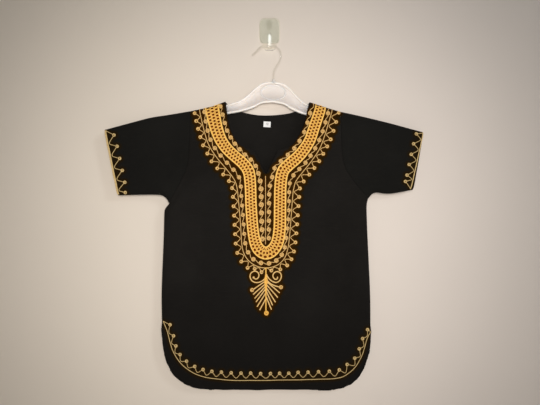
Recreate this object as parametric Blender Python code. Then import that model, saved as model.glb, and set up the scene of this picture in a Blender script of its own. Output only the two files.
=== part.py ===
# A child's dashiki shirt hanging on a moulded hanger from a clear adhesive wall hook.
# Lengths are in millimetres until a mesh is made. X runs to the right, Z up, and the wall is the
# plane y = 0, so the shirt's front faces -Y. The origin is the middle of the hook's back face.
from math import atan2, cos, pi, radians, sin, sqrt

import bmesh
import bpy
import numpy as np

METRES = 0.001  # one millimetre

# ---- Driving dimensions ----------------------------------------------------------------------
CLOTH_WALL = 1.2  # thickness of every cloth wall
SEAM_GAP = 0.3  # clear distance between two pieces that are sewn together
SHIRT_X = -6.6  # the shirt's centre line hangs a little left of the hook
HEM_Z = -670.0  # bottom of the tails
EDGE_ROUND = 12.0  # how far the turn at a side or shoulder reaches into the panel
SEAM_LIP = 0.5  # flat strip of a panel where it meets the other one
SLEEVE_GAP = 0.4  # a sleeve stands this far out from the panels
SLEEVE_START = 140.0  # distance from the centre line where the sleeves begin to get flatter
SLEEVE_REACH = 160.0  # length over which they do
SLEEVE_FLATNESS = 0.68  # depth at the cuff, of the depth at the armhole

HANGER_X = 7.5  # middle of the hanger's top edge
HANGER_Z = -100.0
HANGER_Y = -14.0
HANGER_TILT = radians(2.6)  # the right arm hangs lower
WIRE_RADIUS = 1.5

STRIP_DEPTH = 1.0
PLATE_DEPTH = 2.8
PLATE_WIDTH = 39.0
PLATE_HEIGHT = 49.0
PLATE_Z = -1.0

# ---- The cut of the shirt --------------------------------------------------------------------
# Every row is (left x, left z, right x, right z): distances out from the centre line, and heights.
TAIL = (  # from the middle of the hem round the corner to where the side seam ends
    (0.0, HEM_Z, 0.0, HEM_Z),
    (100.0, HEM_Z, 108.0, HEM_Z),
    (126.0, -667.0, 134.0, -667.5),
    (146.0, -660.5, 152.0, -662.0),
    (162.5, -651.0, 166.5, -652.0),
    (176.0, -634.0, 178.5, -635.0),
    (184.5, -616.0, 185.8, -616.5),
    (190.5, -588.0, 192.0, -592.0),
    (193.4, -548.0, 194.0, -552.0),
)
SIDE_SEAM = (  # up to the underarm point
    (193.4, -548.0, 194.0, -552.0),
    (193.8, -486.0, 193.2, -490.0),
    (190.2, -394.0, 188.8, -394.0),
    (188.9, -347.0, 186.9, -347.0),
    (187.2, -336.0, 186.8, -328.6),
    (179.5, -325.5, 189.2, -317.1),
)
ARMHOLE = (  # from the underarm point to the shoulder
    (179.5, -325.5, 189.2, -317.1),
    (158.5, -288.0, 160.0, -283.0),
    (145.5, -258.8, 145.0, -258.8),
    (141.0, -227.6, 139.5, -227.6),
    (138.4, -166.5, 137.6, -168.0),
    (138.8, -154.4, 138.0, -155.8),
)
SHOULDER = (  # from the armhole to the neck tip
    (138.8, -154.4, 138.0, -155.8),
    (100.4, -146.0, 111.4, -148.0),
    (75.7, -136.9, 81.1, -138.0),
)
NECK_SLIT = (  # the V below the round neck
    (0.0, -273.5, 0.0, -273.5),
    (22.0, -229.0, 22.0, -229.0),
)
NECK_FRONT = (
    (22.0, -229.0, 22.0, -229.0),
    (46.2, -220.5, 46.0, -220.5),
    (58.7, -205.0, 58.8, -205.0),
    (69.0, -181.0, 70.5, -181.0),
    (72.8, -149.5, 77.0, -150.5),
    (75.7, -136.9, 81.1, -138.0),
)
NECK_BACK = (
    (0.0, -161.0, 0.0, -161.0),
    (16.0, -160.3, 18.0, -160.3),
    (34.0, -157.3, 40.0, -157.6),
    (52.0, -152.3, 57.0, -153.0),
    (66.0, -146.0, 71.0, -147.0),
    (75.7, -136.9, 81.1, -138.0),
)
SLEEVE_TOP = (  # from the armhole to the cuff
    (138.8, -154.4, 138.0, -155.8),
    (178.4, -161.1, 178.3, -164.6),
    (211.9, -166.3, 222.9, -175.4),
    (245.3, -174.8, 246.0, -181.5),
    (298.2, -189.1, 289.6, -193.4),
)
SLEEVE_UNDER = (
    (179.5, -325.5, 189.2, -317.1),
    (185.0, -316.5, 195.5, -309.5),
    (197.0, -310.2, 205.0, -305.8),
    (234.2, -309.9, 230.3, -307.8),
    (273.2, -311.0, 271.4, -300.8),
)
EMBROIDERY_REACH = (  # (distance from the centre line, height) of the neck band's outer edge
    (124.0, -130.0),
    (119.6, -177.7),
    (110.4, -203.5),
    (99.4, -223.7),
    (82.8, -241.2),
    (67.0, -256.0),
    (56.1, -273.0),
    (51.5, -294.0),
    (49.7, -345.0),
    (46.9, -375.0),
    (43.5, -400.4),
    (32.0, -423.0),
    (15.0, -439.0),
    (0.0, -444.0),
)
EMBROIDERY_MARGIN = 4.0  # bare cloth between the neck edge and the band
EMBROIDERY_DEPTH = 0.8
LABEL_WIDTH = 13.6
LABEL_HEIGHT = 10.8
LABEL_DEPTH = 0.5
LABEL_X = -4.7
LABEL_Z = -177.4

# How the flat tube is filled out: (height, seam plane y, depth to the front, depth to the back)
FILLING = (
    (HEM_Z, -13.0, 5.5, 4.5),
    (-500.0, -13.3, 8.5, 7.5),
    (-330.0, -13.6, 10.5, 9.0),
    (-200.0, -14.0, 11.0, 9.2),
    (-137.0, -14.0, 10.2, 9.8),
)

# Largest folds, as soft troughs in the front: (x from, z from, x to, z to, half width, depth)
FOLDS = (
    (-152.0, -275.0, -186.0, -330.0, 7.0, 2.2),
    (-168.0, -283.0, -192.0, -309.0, 6.0, 1.8),
    (148.0, -275.0, 204.0, -291.0, 6.0, 2.0),
    (158.0, -291.0, 190.0, -306.0, 6.0, 1.8),
    (-125.0, -290.0, -125.0, -560.0, 10.0, 1.0),
    (131.0, -250.0, 131.0, -620.0, 10.0, 1.2),
    (8.0, -540.0, 8.0, -650.0, 12.0, 0.9),
)

# The hanger's edges: (distance from its middle, drop below its top), and its section
HANGER_TOP = (
    (0.0, 0.0), (18.5, 2.8), (31.5, 11.5), (46.4, 26.2),
    (61.2, 37.7), (87.2, 47.3), (114.5, 54.0), (144.7, 61.7),
)
HANGER_BOTTOM = (
    (0.0, 37.7), (20.4, 41.0), (33.4, 48.6), (46.4, 54.0),
    (59.4, 58.1), (86.6, 64.4), (115.0, 70.1), (144.7, 76.0),
)
RIM_HALF_DEPTH = 4.0
RIM_HALF_FLAT = 1.4
RIM_CHAMFER = 1.4
RIM_HEIGHT = 2.6
WEB_HALF = 1.0
OVAL_CENTRE = 20.2  # below the hanger's top
OVAL_HALF_WIDTH = 24.0
OVAL_HALF_HEIGHT = 15.0
OVAL_WALL = 2.0
OVAL_RISE = 1.4
OVAL_SIDES = 32
COLLAR_RADIUS = 3.6
COLLAR_TAPER = 0.8
COLLAR_HEIGHT = 4.0
COLLAR_ROOT = 3.0  # how far it is sunk into the arch
COLLAR_SIDES = 16
END_WALL = 2.5  # the web's closed ends
HANGER_STATIONS = (
    0.0, 6.0, 12.0, 18.5, 25.0, 31.5, 39.0, 46.4, 54.0, 61.2, 74.0, 87.2, 101.0, 114.5, 129.0,
)

# Middle line of the hanger's hook: (x, y, z), from the collar to its free end
HOOK_ROUTE = (
    (7.5, -14.0, -95.7), (7.3, -13.8, -87.0), (8.3, -13.2, -78.0), (12.0, -12.2, -70.5),
    (17.4, -11.0, -61.8), (20.9, -10.1, -52.6), (20.4, -9.6, -43.2), (16.6, -9.3, -36.2),
    (9.0, -9.2, -31.6), (0.0, -9.2, -30.9), (-9.0, -9.2, -31.4), (-17.0, -9.0, -33.6),
    (-22.0, -8.8, -38.6), (-26.5, -8.6, -43.6), (-32.0, -8.5, -47.6),
)

# The wall hook's arm: (y, z, half width, half thickness) of its middle line from root to tip
HOOK_ARM = (
    (-3.2, -17.0, 13.0, 1.3),
    (-4.0, -24.0, 13.0, 1.3),
    (-4.6, -29.5, 11.5, 1.3),
    (-6.4, -33.4, 9.6, 1.3),
    (-9.6, -34.8, 8.2, 1.3),
    (-13.0, -33.0, 6.8, 1.25),
    (-15.2, -29.0, 5.2, 1.2),
    (-16.4, -22.0, 3.6, 1.15),
    (-17.2, -11.5, 2.4, 1.0),
)
ARM_CHAMFER = 0.8
ARM_EDGE = 0.55  # what the chamfers leave of the arm's edge, as a share of its thickness
PLATE_CHAMFER = 1.2
STRIP_INSET = 3.2  # the foam strip ends this far inside the plate's outline


# ---- Small tools -----------------------------------------------------------------------------
def clear_scene():
    for scene_object in list(bpy.data.objects):
        bpy.data.objects.remove(scene_object, do_unlink=True)


def make_material(name, colour, roughness, metallic=0.0, transmission=0.0):
    material = bpy.data.materials.new(name)
    material.use_nodes = True
    shader = material.node_tree.nodes["Principled BSDF"]
    shader.inputs["Base Color"].default_value = (*colour, 1.0)
    shader.inputs["Roughness"].default_value = roughness
    shader.inputs["Metallic"].default_value = metallic
    shader.inputs["Transmission Weight"].default_value = transmission
    return material


def add_object(name, data, material=None):
    made = bpy.data.objects.new(name, data)
    bpy.context.scene.collection.objects.link(made)
    if material is not None:
        data.materials.append(material)
    return made


def mesh_object(name, points, faces, material):
    mesh = bpy.data.meshes.new(name)
    mesh.from_pydata([tuple(c * METRES for c in point) for point in points], [], faces)
    made = add_object(name, mesh, material)
    mesh.shade_smooth()
    mesh.set_sharp_from_angle(angle=radians(35))
    return made


def face_outward(made):
    work = bmesh.new()
    work.from_mesh(made.data)
    bmesh.ops.recalc_face_normals(work, faces=work.faces)
    work.to_mesh(made.data)
    work.free()


class Sheet:
    """An open surface of shared points, from which a wall of even thickness is made."""

    def __init__(self):
        self.points, self.faces, self.guides, self.numbers = [], [], [], {}

    def add_point(self, point, guides=()):
        """A point, and the directions in which its wall may not lean because a seam is there."""
        key = tuple(round(float(c), 4) for c in point)
        if key not in self.numbers:
            self.numbers[key] = len(self.points)
            self.points.append(np.array(point, float))
            self.guides.append(list(guides))
        return self.numbers[key]

    def add_rows(self, rows, turn_over, closed=False):
        """Faces between rows of point numbers."""
        for low, high in zip(rows, rows[1:]):
            for k in range(len(low) if closed else len(low) - 1):
                after = (k + 1) % len(low)
                quad = [low[k], low[after], high[after], high[k]]
                quad = [n for i, n in enumerate(quad) if n not in quad[:i]]
                if len(quad) > 2:
                    self.faces.append(quad[::-1] if turn_over else quad)

    def leans(self):
        """The direction at each point in which the wall is measured."""
        work = bmesh.new()
        vertices = [work.verts.new(point) for point in self.points]
        for face in self.faces:
            work.faces.new([vertices[n] for n in face])
        work.normal_update()
        leans = [np.array(vertex.normal) for vertex in vertices]
        work.free()
        for lean, guides in zip(leans, self.guides):
            for guide in guides:
                lean -= guide * float(lean @ guide)
            lean /= np.linalg.norm(lean)
        return leans

    def wall(self, name, outside, inside, material):
        """A solid between two offsets from the surface, out along its normals."""
        leans = self.leans()
        count = len(self.points)
        points = [p + n * outside for p, n in zip(self.points, leans)]
        points += [p + n * inside for p, n in zip(self.points, leans)]
        faces = [tuple(face) for face in self.faces]
        faces += [tuple(n + count for n in reversed(face)) for face in self.faces]
        edges = {(a, b) for face in self.faces for a, b in zip(face, face[1:] + face[:1])}
        faces += [(b, a, a + count, b + count) for a, b in sorted(edges) if (b, a) not in edges]
        return mesh_object(name, points, faces, material)


def combine(target, cutter, operation):
    """Apply a Boolean to the target, then remove the other object."""
    modifier = target.modifiers.new("combined", "BOOLEAN")
    modifier.operation = operation
    modifier.solver = "EXACT"
    modifier.object = cutter
    graph = bpy.context.evaluated_depsgraph_get()
    joined = bpy.data.meshes.new_from_object(target.evaluated_get(graph))
    target.modifiers.remove(modifier)
    target.data = joined
    bpy.data.objects.remove(cutter, do_unlink=True)


def smooth_curve(points, steps=12):
    """Points along a Catmull-Rom curve that passes through every given point."""
    pts = [np.array(point, float) for point in points]
    if len(pts) == 2:
        return np.array([pts[0] + (pts[1] - pts[0]) * k / steps for k in range(steps + 1)])
    ends = [2 * pts[0] - pts[1]] + pts + [2 * pts[-1] - pts[-2]]
    curve = [pts[0]]
    for a, b, c, d in zip(ends, ends[1:], ends[2:], ends[3:]):
        for k in range(1, steps + 1):
            t = k / steps
            curve.append(0.5 * (2 * b + (c - a) * t + (2 * a - 5 * b + 4 * c - d) * t ** 2
                                + (3 * b - a - 3 * c + d) * t ** 3))
    return np.array(curve)


def along(curve, fractions):
    """Points at the given fractions of a curve's length."""
    run = np.concatenate([[0.0], np.cumsum(np.linalg.norm(np.diff(curve, axis=0), axis=1))])
    return [np.array([np.interp(f * run[-1], run, curve[:, k]) for k in range(curve.shape[1])])
            for f in fractions]


def length_of(curve):
    return float(np.linalg.norm(np.diff(curve, axis=0), axis=1).sum())


def even(count):
    return [k / count for k in range(1, count + 1)]


# ---- The shirt's surface ---------------------------------------------------------------------
def edge_curve(table, side):
    """One side's curve through a cutting table, as (x, z); side is -1 on the left, 1 on the right."""
    pick = 0 if side < 0 else 2
    return smooth_curve([(SHIRT_X + side * row[pick], row[pick + 1]) for row in table])


def closed_edges():
    """The lines where front meets back: shoulder and sleeve fold, underarm and side seam."""
    lines = []
    for side in (-1, 1):
        lines.append(edge_curve(SHOULDER, side))
        lines.append(edge_curve(SLEEVE_TOP, side))
        lines.append(edge_curve(SLEEVE_UNDER, side))
        lines.append(edge_curve(SIDE_SEAM, side))
    return lines


def distance_to_lines(x, z, lines):
    nearest = 1e9
    point = np.array([x, z])
    for line in lines:
        start, step = line[:-1], np.diff(line, axis=0)
        share = np.clip(((point - start) * step).sum(1) / (step ** 2).sum(1), 0.0, 1.0)
        gaps = np.linalg.norm(start + step * share[:, None] - point, axis=1)
        nearest = min(nearest, float(gaps.min()))
    return nearest


CLOSED_EDGES = closed_edges()


def filling(z, column):
    heights = [row[0] for row in FILLING]
    return float(np.interp(z, heights, [row[column] for row in FILLING]))


def fold_depth(x, z):
    total = 0.0
    for x0, z0, x1, z1, half_width, depth in FOLDS:
        run = np.array([x1 - x0, z1 - z0])
        from_start = np.array([x - x0, z - z0])
        share = float(from_start @ run / (run @ run))
        if 0.0 < share < 1.0:
            aside = float(np.linalg.norm(from_start - share * run))
            total += depth * np.exp(-(aside / half_width) ** 2) * sin(pi * share) ** 0.5
    return total


def surface_y(x, z, face, on_seam=False):
    """Depth of the cloth's outer face: face is -1 for the front and 1 for the back."""
    seam = filling(z, 1)
    if on_seam:
        return seam + face * SEAM_GAP / 2
    depth = filling(z, 2 if face < 0 else 3)
    out = min(max((abs(x - SHIRT_X) - SLEEVE_START) / SLEEVE_REACH, 0.0), 1.0)
    depth *= 1.0 - (1.0 - SLEEVE_FLATNESS) * out
    reach = min(distance_to_lines(x, z, CLOSED_EDGES) / EDGE_ROUND, 1.0)
    turned = sqrt(max(1.0 - (1.0 - reach) ** 2, 0.0))
    fold = fold_depth(x, z) if face < 0 else 0.6 * fold_depth(x, z)
    lip = SEAM_GAP / 2 + SEAM_LIP
    return seam + face * (lip + (depth - lip - fold) * turned)


PANEL_COLUMNS = 6  # columns of points between a panel's turned edge and its middle
TAIL_STEPS = (0.24, 0.42, 0.52, 0.59, 0.66, 0.73, 0.80, 0.88, 0.94, 1.0)
SEAM_STEPS = (0.24, 0.48, 0.70, 0.86, 0.95, 1.0)
SLEEVE_STEPS = [0.0, 0.05, 0.12, 0.22, 0.38, 0.55, 0.72, 0.87, 1.0]

# Distances in from a closed edge that make an even turn of four facets
TURN = [EDGE_ROUND * (1.0 - cos(radians(angle))) for angle in (22.5, 45.0, 67.5, 90.0)]


def level_fractions(length):
    """Fractions of a length that stand close together in the turns at both of its ends."""
    near = [distance / length for distance in TURN]
    middle = [near[-1] + (1.0 - 2.0 * near[-1]) * share for share in even(7)]
    return [0.0] + near + middle + [1.0 - f for f in reversed(near[:-1])] + [1.0]


def armhole_fractions(curve):
    return level_fractions(length_of(curve))


def outer_rows(side):
    """Points of a panel's outer edge, in three runs: tail, side seam and armhole."""
    tail = along(edge_curve(TAIL, side), TAIL_STEPS)
    seam = along(edge_curve(SIDE_SEAM, side), SEAM_STEPS)
    armhole_curve = edge_curve(ARMHOLE, side)
    armhole = along(armhole_curve, armhole_fractions(armhole_curve)[1:])
    return tail, seam, armhole


def inner_rows(face, side):
    """The matching points of the centre line, the same on both halves, and of the neck edge."""
    halves = [outer_rows(each) for each in (-1, 1)]
    heights = [(left[1] + right[1]) / 2 for run in (0, 1) for left, right in zip(*[h[run] for h in halves])]
    neck = edge_curve(NECK_FRONT if face < 0 else NECK_BACK, side)
    split_z = NECK_SLIT[0][1] if face < 0 else NECK_BACK[0][1]
    below, slit = (6, 2) if face < 0 else (7, 0)  # rows above the underarm, up to the neck
    heights += [heights[-1] + (split_z - heights[-1]) * share for share in even(below)]
    rows = [np.array([SHIRT_X, z]) for z in heights]
    rows += along(edge_curve(NECK_SLIT, side), even(slit))
    last = [1.0 - distance / length_of(neck) for distance in reversed(TURN)] + [1.0]
    between = len(halves[0][2]) - below - slit - len(last)
    rows += along(neck, [last[0] * share for share in even(between + 1)][:-1])
    return rows + along(neck, last)


def seam_direction(curve, fraction):
    """Unit vector across an armhole, out from the body, at a fraction of its length."""
    before, after = along(curve, [max(fraction - 0.01, 0.0), min(fraction + 0.01, 1.0)])
    run = (after - before) / np.linalg.norm(after - before)
    across = np.array([run[1], 0.0, -run[0]])
    return across if (across[0] > 0) == (curve[0][0] > SHIRT_X) else -across


def shoulder_bow(curve, fraction):
    """How far the shoulder line lies from a straight one, at a fraction of its length."""
    return along(curve, [fraction])[0] - (curve[0] + (curve[-1] - curve[0]) * fraction)


ACROSS_WALL = np.array([0.0, 1.0, 0.0])


def build_panel(face):
    """The outer surface of the front or back: rows of points from hem to shoulder."""
    sheet = Sheet()
    for side in (-1, 1):
        tail, seam, armhole = outer_rows(side)
        armhole_curve = edge_curve(ARMHOLE, side)
        fractions = armhole_fractions(armhole_curve)[1:]
        first_armhole = len(tail) + len(seam)
        shoulder = edge_curve(SHOULDER, side)
        rows, places = [], []
        for index, (near, far) in enumerate(zip(inner_rows(face, side), tail + seam + armhole)):
            sewn_side = len(tail) - 1 <= index < first_armhole
            guides = []
            if index >= first_armhole - 1:
                share = fractions[index - first_armhole] if index >= first_armhole else 0.0
                guides.append(seam_direction(armhole_curve, share))
            width = float(np.linalg.norm(far - near))
            insets = [0.0, 0.0 if sewn_side else SEAM_LIP] + TURN
            insets += [insets[-1] + (width - insets[-1]) * share for share in even(PANEL_COLUMNS)]
            bow = min(max((index - first_armhole) / (len(armhole) - len(TURN) - 1), 0.0), 1.0) ** 2
            place = [far - (far - near) * (inset / width) for inset in insets]
            place = [at + shoulder_bow(shoulder, inset / width) * bow for at, inset in zip(place, insets)]
            row = []
            for column, (x, z) in enumerate(place):
                on_seam = column == 0 and sewn_side
                held = (guides if column == 0 else []) + ([ACROSS_WALL] if on_seam else [])
                row.append(sheet.add_point((x, surface_y(x, z, face, on_seam), z), held))
            places.append(place)
            rows.append(row)
        across = [[seam_direction(armhole_curve, 1.0)]] + [[]] * (len(rows[-1]) - 1)
        rows.append([sheet.add_point((x, surface_y(x, z, face, True), z), held + [ACROSS_WALL])
                     for (x, z), held in zip(places[-1], across)])
        sheet.add_rows(rows, side * face < 0)
    return sheet


def build_sleeve(side):
    """The outer surface of a sleeve: closed rings of points from the armhole out to the cuff."""
    sheet = Sheet()
    top, under = edge_curve(SLEEVE_TOP, side), edge_curve(SLEEVE_UNDER, side)
    armhole_curve = edge_curve(ARMHOLE, side)
    fractions = list(reversed(armhole_fractions(armhole_curve)))
    armhole = along(armhole_curve, fractions)
    across = [seam_direction(armhole_curve, fraction) for fraction in fractions]
    drop = float(np.linalg.norm(top[-1] - under[-1]))
    levels = level_fractions(drop)
    rings = []
    for s, upper, lower in zip(SLEEVE_STEPS, along(top, SLEEVE_STEPS), along(under, SLEEVE_STEPS)):
        stretch = []
        for w, level in enumerate(levels):
            chord = armhole[0] + (armhole[-1] - armhole[0]) * level
            place = upper + (lower - upper) * level + (armhole[w] - chord) * (1.0 - s)
            x, z = place + across[w][[0, 2]] * SLEEVE_GAP
            stretch.append((x, z, [across[w]] if s == 0.0 else []))
        ring = [sheet.add_point((x, surface_y(x, z, -1), z), held) for x, z, held in stretch]
        ring += [sheet.add_point((x, surface_y(x, z, 1), z), held) for x, z, held in reversed(stretch)]
        rings.append(ring)
    sheet.add_rows(rings, side < 0, closed=True)
    return sheet


def prism(name, outline, y_front, y_back):
    """A closed prism along Y over an (x, z) outline; it only cuts."""
    count = len(outline)
    points = [(x, y_front, z) for x, z in outline] + [(x, y_back, z) for x, z in outline]
    faces = [tuple(range(count)), tuple(range(2 * count - 1, count - 1, -1))]
    faces += [(k, k + count, (k + 1) % count + count, (k + 1) % count) for k in range(count)]
    cutter = mesh_object(name, points, faces, None)
    face_outward(cutter)
    cutter.hide_render = True
    cutter.display_type = "WIRE"
    return cutter


def build_embroidery(front, material):
    """The stitched band, made from the front panel's own points, moved out."""
    outer = smooth_curve([(SHIRT_X - x, z) for x, z in EMBROIDERY_REACH], 3)
    outline = [tuple(point) for point in outer]
    outline += [(2 * SHIRT_X - x, z) for x, z in reversed(outline[:-1])]
    top_z = outline[0][1]
    for side in (1, -1):
        # down from the neck tip to the slit on the right, and back up on the left
        edge = along(edge_curve(NECK_FRONT, side), [0.0] + even(6))
        aside = side * EMBROIDERY_MARGIN
        tip = (edge[-1][0] + aside, top_z)
        lowered = [(x + aside * 0.8, z - EMBROIDERY_MARGIN * 0.8) for x, z in edge]
        slit_foot = (SHIRT_X, NECK_SLIT[0][1] - EMBROIDERY_MARGIN * 1.5)
        outline += [tip] + lowered[::-1] + [slit_foot] if side > 0 else lowered + [tip]
    band = front.wall("neck_embroidery", SEAM_GAP + EMBROIDERY_DEPTH, SEAM_GAP, material)
    front_half = HANGER_Y - CLOTH_WALL
    combine(band, prism("embroidery_reach", outline, front_half - 45.0, front_half), "INTERSECT")


def build_label(material):
    """The size label on the inside of the back, just under the neck edge."""
    back = surface_y(LABEL_X, LABEL_Z, 1) - CLOTH_WALL - SEAM_GAP
    corners = [(LABEL_X + sx * LABEL_WIDTH / 2, LABEL_Z + sz * LABEL_HEIGHT / 2)
               for sx, sz in ((-1, -1), (1, -1), (1, 1), (-1, 1))]
    points = [(x, y, z) for y in (back - LABEL_DEPTH, back) for x, z in corners]
    faces = [(0, 1, 2, 3), (7, 6, 5, 4)]
    faces += [(k, k + 4, (k + 1) % 4 + 4, (k + 1) % 4) for k in range(4)]
    mesh_object("size_label", points, faces, material)


# ---- Hanger ----------------------------------------------------------------------------------
def hanger_point(u, drop, y):
    """From the hanger's own frame to the world: u from its middle, drop below its top."""
    x = u * cos(HANGER_TILT) - drop * sin(HANGER_TILT)
    z = -u * sin(HANGER_TILT) - drop * cos(HANGER_TILT)
    return (HANGER_X + x, HANGER_Y + y, HANGER_Z + z)


def hanger_section(u, web_half):
    top_curve, bottom_curve = smooth_curve(HANGER_TOP), smooth_curve(HANGER_BOTTOM)
    distance = abs(u)
    top = float(np.interp(distance, top_curve[:, 0], top_curve[:, 1]))
    bottom = float(np.interp(distance, bottom_curve[:, 0], bottom_curve[:, 1]))
    ahead = float(np.interp(distance + 0.5, top_curve[:, 0], top_curve[:, 1]))
    behind = float(np.interp(max(distance - 0.5, 0.0), top_curve[:, 0], top_curve[:, 1]))
    lean = sqrt(1.0 + (ahead - behind) ** 2)
    chamfer, rim = RIM_CHAMFER * lean, RIM_HEIGHT * lean
    half = [
        (RIM_HALF_FLAT, top), (RIM_HALF_DEPTH, top + chamfer), (RIM_HALF_DEPTH, top + rim),
        (web_half, top + rim), (web_half, bottom - rim), (RIM_HALF_DEPTH, bottom - rim),
        (RIM_HALF_DEPTH, bottom - chamfer), (RIM_HALF_FLAT, bottom),
    ]
    loop = [(y, drop) for y, drop in half] + [(-y, drop) for y, drop in reversed(half)]
    return [hanger_point(u, drop, y) for y, drop in loop]


def loft(name, rings, material):
    """A closed solid through rings with the same number of points, capped at both ends."""
    count = len(rings[0])
    points = [point for ring in rings for point in ring]
    faces = []
    for r in range(len(rings) - 1):
        for k in range(count):
            a, b = r * count + k, r * count + (k + 1) % count
            faces.append((a, b, b + count, a + count))
    last = (len(rings) - 1) * count
    faces.append(tuple(range(count))[::-1])
    faces.append(tuple(range(last, last + count)))
    made = mesh_object(name, points, faces, material)
    face_outward(made)
    return made


def oval_loop(inset, y):
    """One loop of the oval ring, in the world."""
    angles = [2 * pi * k / OVAL_SIDES for k in range(OVAL_SIDES)]
    return [hanger_point((OVAL_HALF_WIDTH - inset) * cos(angle),
                         OVAL_CENTRE + (OVAL_HALF_HEIGHT - inset) * sin(angle), y) for angle in angles]


def build_oval(material):
    """A raised ring on the web's front, sunk to the web's middle."""
    front = -WEB_HALF - OVAL_RISE
    section = ((0.0, front), (OVAL_WALL, front), (OVAL_WALL, 0.0), (0.0, 0.0))
    loops = [oval_loop(inset, y) for inset, y in section]
    faces = []
    for first in range(4):
        second = (first + 1) % 4
        for k in range(OVAL_SIDES):
            after = (k + 1) % OVAL_SIDES
            faces.append((first * OVAL_SIDES + k, first * OVAL_SIDES + after,
                          second * OVAL_SIDES + after, second * OVAL_SIDES + k))
    oval = mesh_object("oval_ring", [point for loop in loops for point in loop], faces, material)
    face_outward(oval)
    return oval


def build_collar(material):
    """The small cone that holds the hanger's hook."""
    rings = []
    for z, radius in ((HANGER_Z - COLLAR_ROOT, COLLAR_RADIUS),
                      (HANGER_Z + COLLAR_HEIGHT, COLLAR_RADIUS * COLLAR_TAPER)):
        angles = [2 * pi * k / COLLAR_SIDES for k in range(COLLAR_SIDES)]
        rings.append([(HANGER_X + radius * cos(a), HANGER_Y + radius * sin(a), z) for a in angles])
    return loft("collar", rings, material)


def build_hanger(material):
    reach = HANGER_TOP[-1][0]
    step = 0.1  # over which the web changes to the closed end
    halves = [-u for u in reversed(HANGER_STATIONS[1:])] + list(HANGER_STATIONS)
    left_end = [(-reach, RIM_HALF_DEPTH), (END_WALL - step - reach, RIM_HALF_DEPTH),
                (END_WALL - reach, WEB_HALF)]
    right_end = [(-u, half) for u, half in reversed(left_end)]
    sections = left_end + [(u, WEB_HALF) for u in halves] + right_end
    body = loft("hanger_body", [hanger_section(u, web_half) for u, web_half in sections], material)
    combine(body, build_oval(material), "UNION")
    combine(body, build_collar(material), "UNION")


def build_wire(material):
    """The hanger's hook, a round bar along one smooth line."""
    line = smooth_curve(HOOK_ROUTE, 4)
    curve = bpy.data.curves.new("hanger_hook", "CURVE")
    curve.dimensions = "3D"
    curve.bevel_depth = WIRE_RADIUS * METRES
    curve.bevel_resolution = 2
    curve.use_fill_caps = True
    spline = curve.splines.new("POLY")
    spline.points.add(len(line) - 1)
    for point, place in zip(spline.points, line):
        point.co = (*(place * METRES), 1.0)
    add_object("hanger_hook", curve, material)


# ---- Wall hook -------------------------------------------------------------------------------
def plate_outline(smaller, count=32, power=5.0):
    """The plate's outline less an amount: a rectangle with round corners and bulging sides."""
    width, height = PLATE_WIDTH - smaller, PLATE_HEIGHT - smaller
    outline = []
    for k in range(count):
        angle = 2 * pi * (k + 0.5) / count
        c, s = cos(angle), sin(angle)
        radius = (abs(c) ** power + abs(s) ** power) ** (-1.0 / power)
        outline.append((radius * c * width / 2, PLATE_Z + radius * s * height / 2))
    return outline


def build_strip(material):
    outline = plate_outline(2 * STRIP_INSET, 24)
    loft("adhesive_strip", [[(x, y, z) for x, z in outline] for y in (-STRIP_DEPTH, 0.0)], material)


def build_wall_hook(material):
    back = -STRIP_DEPTH - SEAM_GAP
    front = back - PLATE_DEPTH
    full, face = plate_outline(0.0), plate_outline(2 * PLATE_CHAMFER)
    rings = [[(x, back, z) for x, z in full], [(x, front + PLATE_CHAMFER, z) for x, z in full],
             [(x, front, z) for x, z in face]]
    plate = loft("wall_hook", rings, material)
    path = smooth_curve([row[:2] for row in HOOK_ARM], 3)
    shape = smooth_curve([row[2:] for row in HOOK_ARM], 3)
    arm_rings = []
    for k, ((y, z), (half_width, half_thickness)) in enumerate(zip(path, shape)):
        ahead = path[min(k + 1, len(path) - 1)] - path[max(k - 1, 0)]
        angle = atan2(ahead[1], ahead[0])
        ny, nz = -sin(angle) * half_thickness, cos(angle) * half_thickness
        inner = half_width - ARM_CHAMFER
        ring = [(half_width, -ARM_EDGE), (half_width, ARM_EDGE), (inner, 1.0), (-inner, 1.0),
                (-half_width, ARM_EDGE), (-half_width, -ARM_EDGE), (-inner, -1.0), (inner, -1.0)]
        arm_rings.append([(x, y + ny * share, z + nz * share) for x, share in ring])
    combine(plate, loft("hook_arm", arm_rings, material), "UNION")


def main():
    clear_scene()
    black_cotton = make_material("black_cotton", (0.012, 0.011, 0.010), 0.85)
    gold_thread = make_material("gold_thread", (0.62, 0.36, 0.07), 0.6)
    white_label = make_material("white_label", (0.80, 0.79, 0.75), 0.8)
    white_plastic = make_material("white_plastic", (0.78, 0.74, 0.68), 0.4)
    clear_plastic = make_material("clear_plastic", (0.75, 0.76, 0.66), 0.15, transmission=0.8)
    foam = make_material("foam_tape", (0.35, 0.34, 0.26), 0.8)

    front = build_panel(-1)
    front.wall("front_panel", 0.0, -CLOTH_WALL, black_cotton)
    build_embroidery(front, gold_thread)
    build_panel(1).wall("back_panel", 0.0, -CLOTH_WALL, black_cotton)
    build_sleeve(-1).wall("sleeve_left", 0.0, -CLOTH_WALL, black_cotton)
    build_sleeve(1).wall("sleeve_right", 0.0, -CLOTH_WALL, black_cotton)
    build_label(white_label)
    build_hanger(white_plastic)
    build_wire(clear_plastic)
    build_strip(foam)
    build_wall_hook(clear_plastic)


main()
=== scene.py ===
from math import cos, pi, radians, sin, sqrt

import bmesh
import bpy
import numpy as np
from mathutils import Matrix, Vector
from mathutils.kdtree import KDTree


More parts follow.
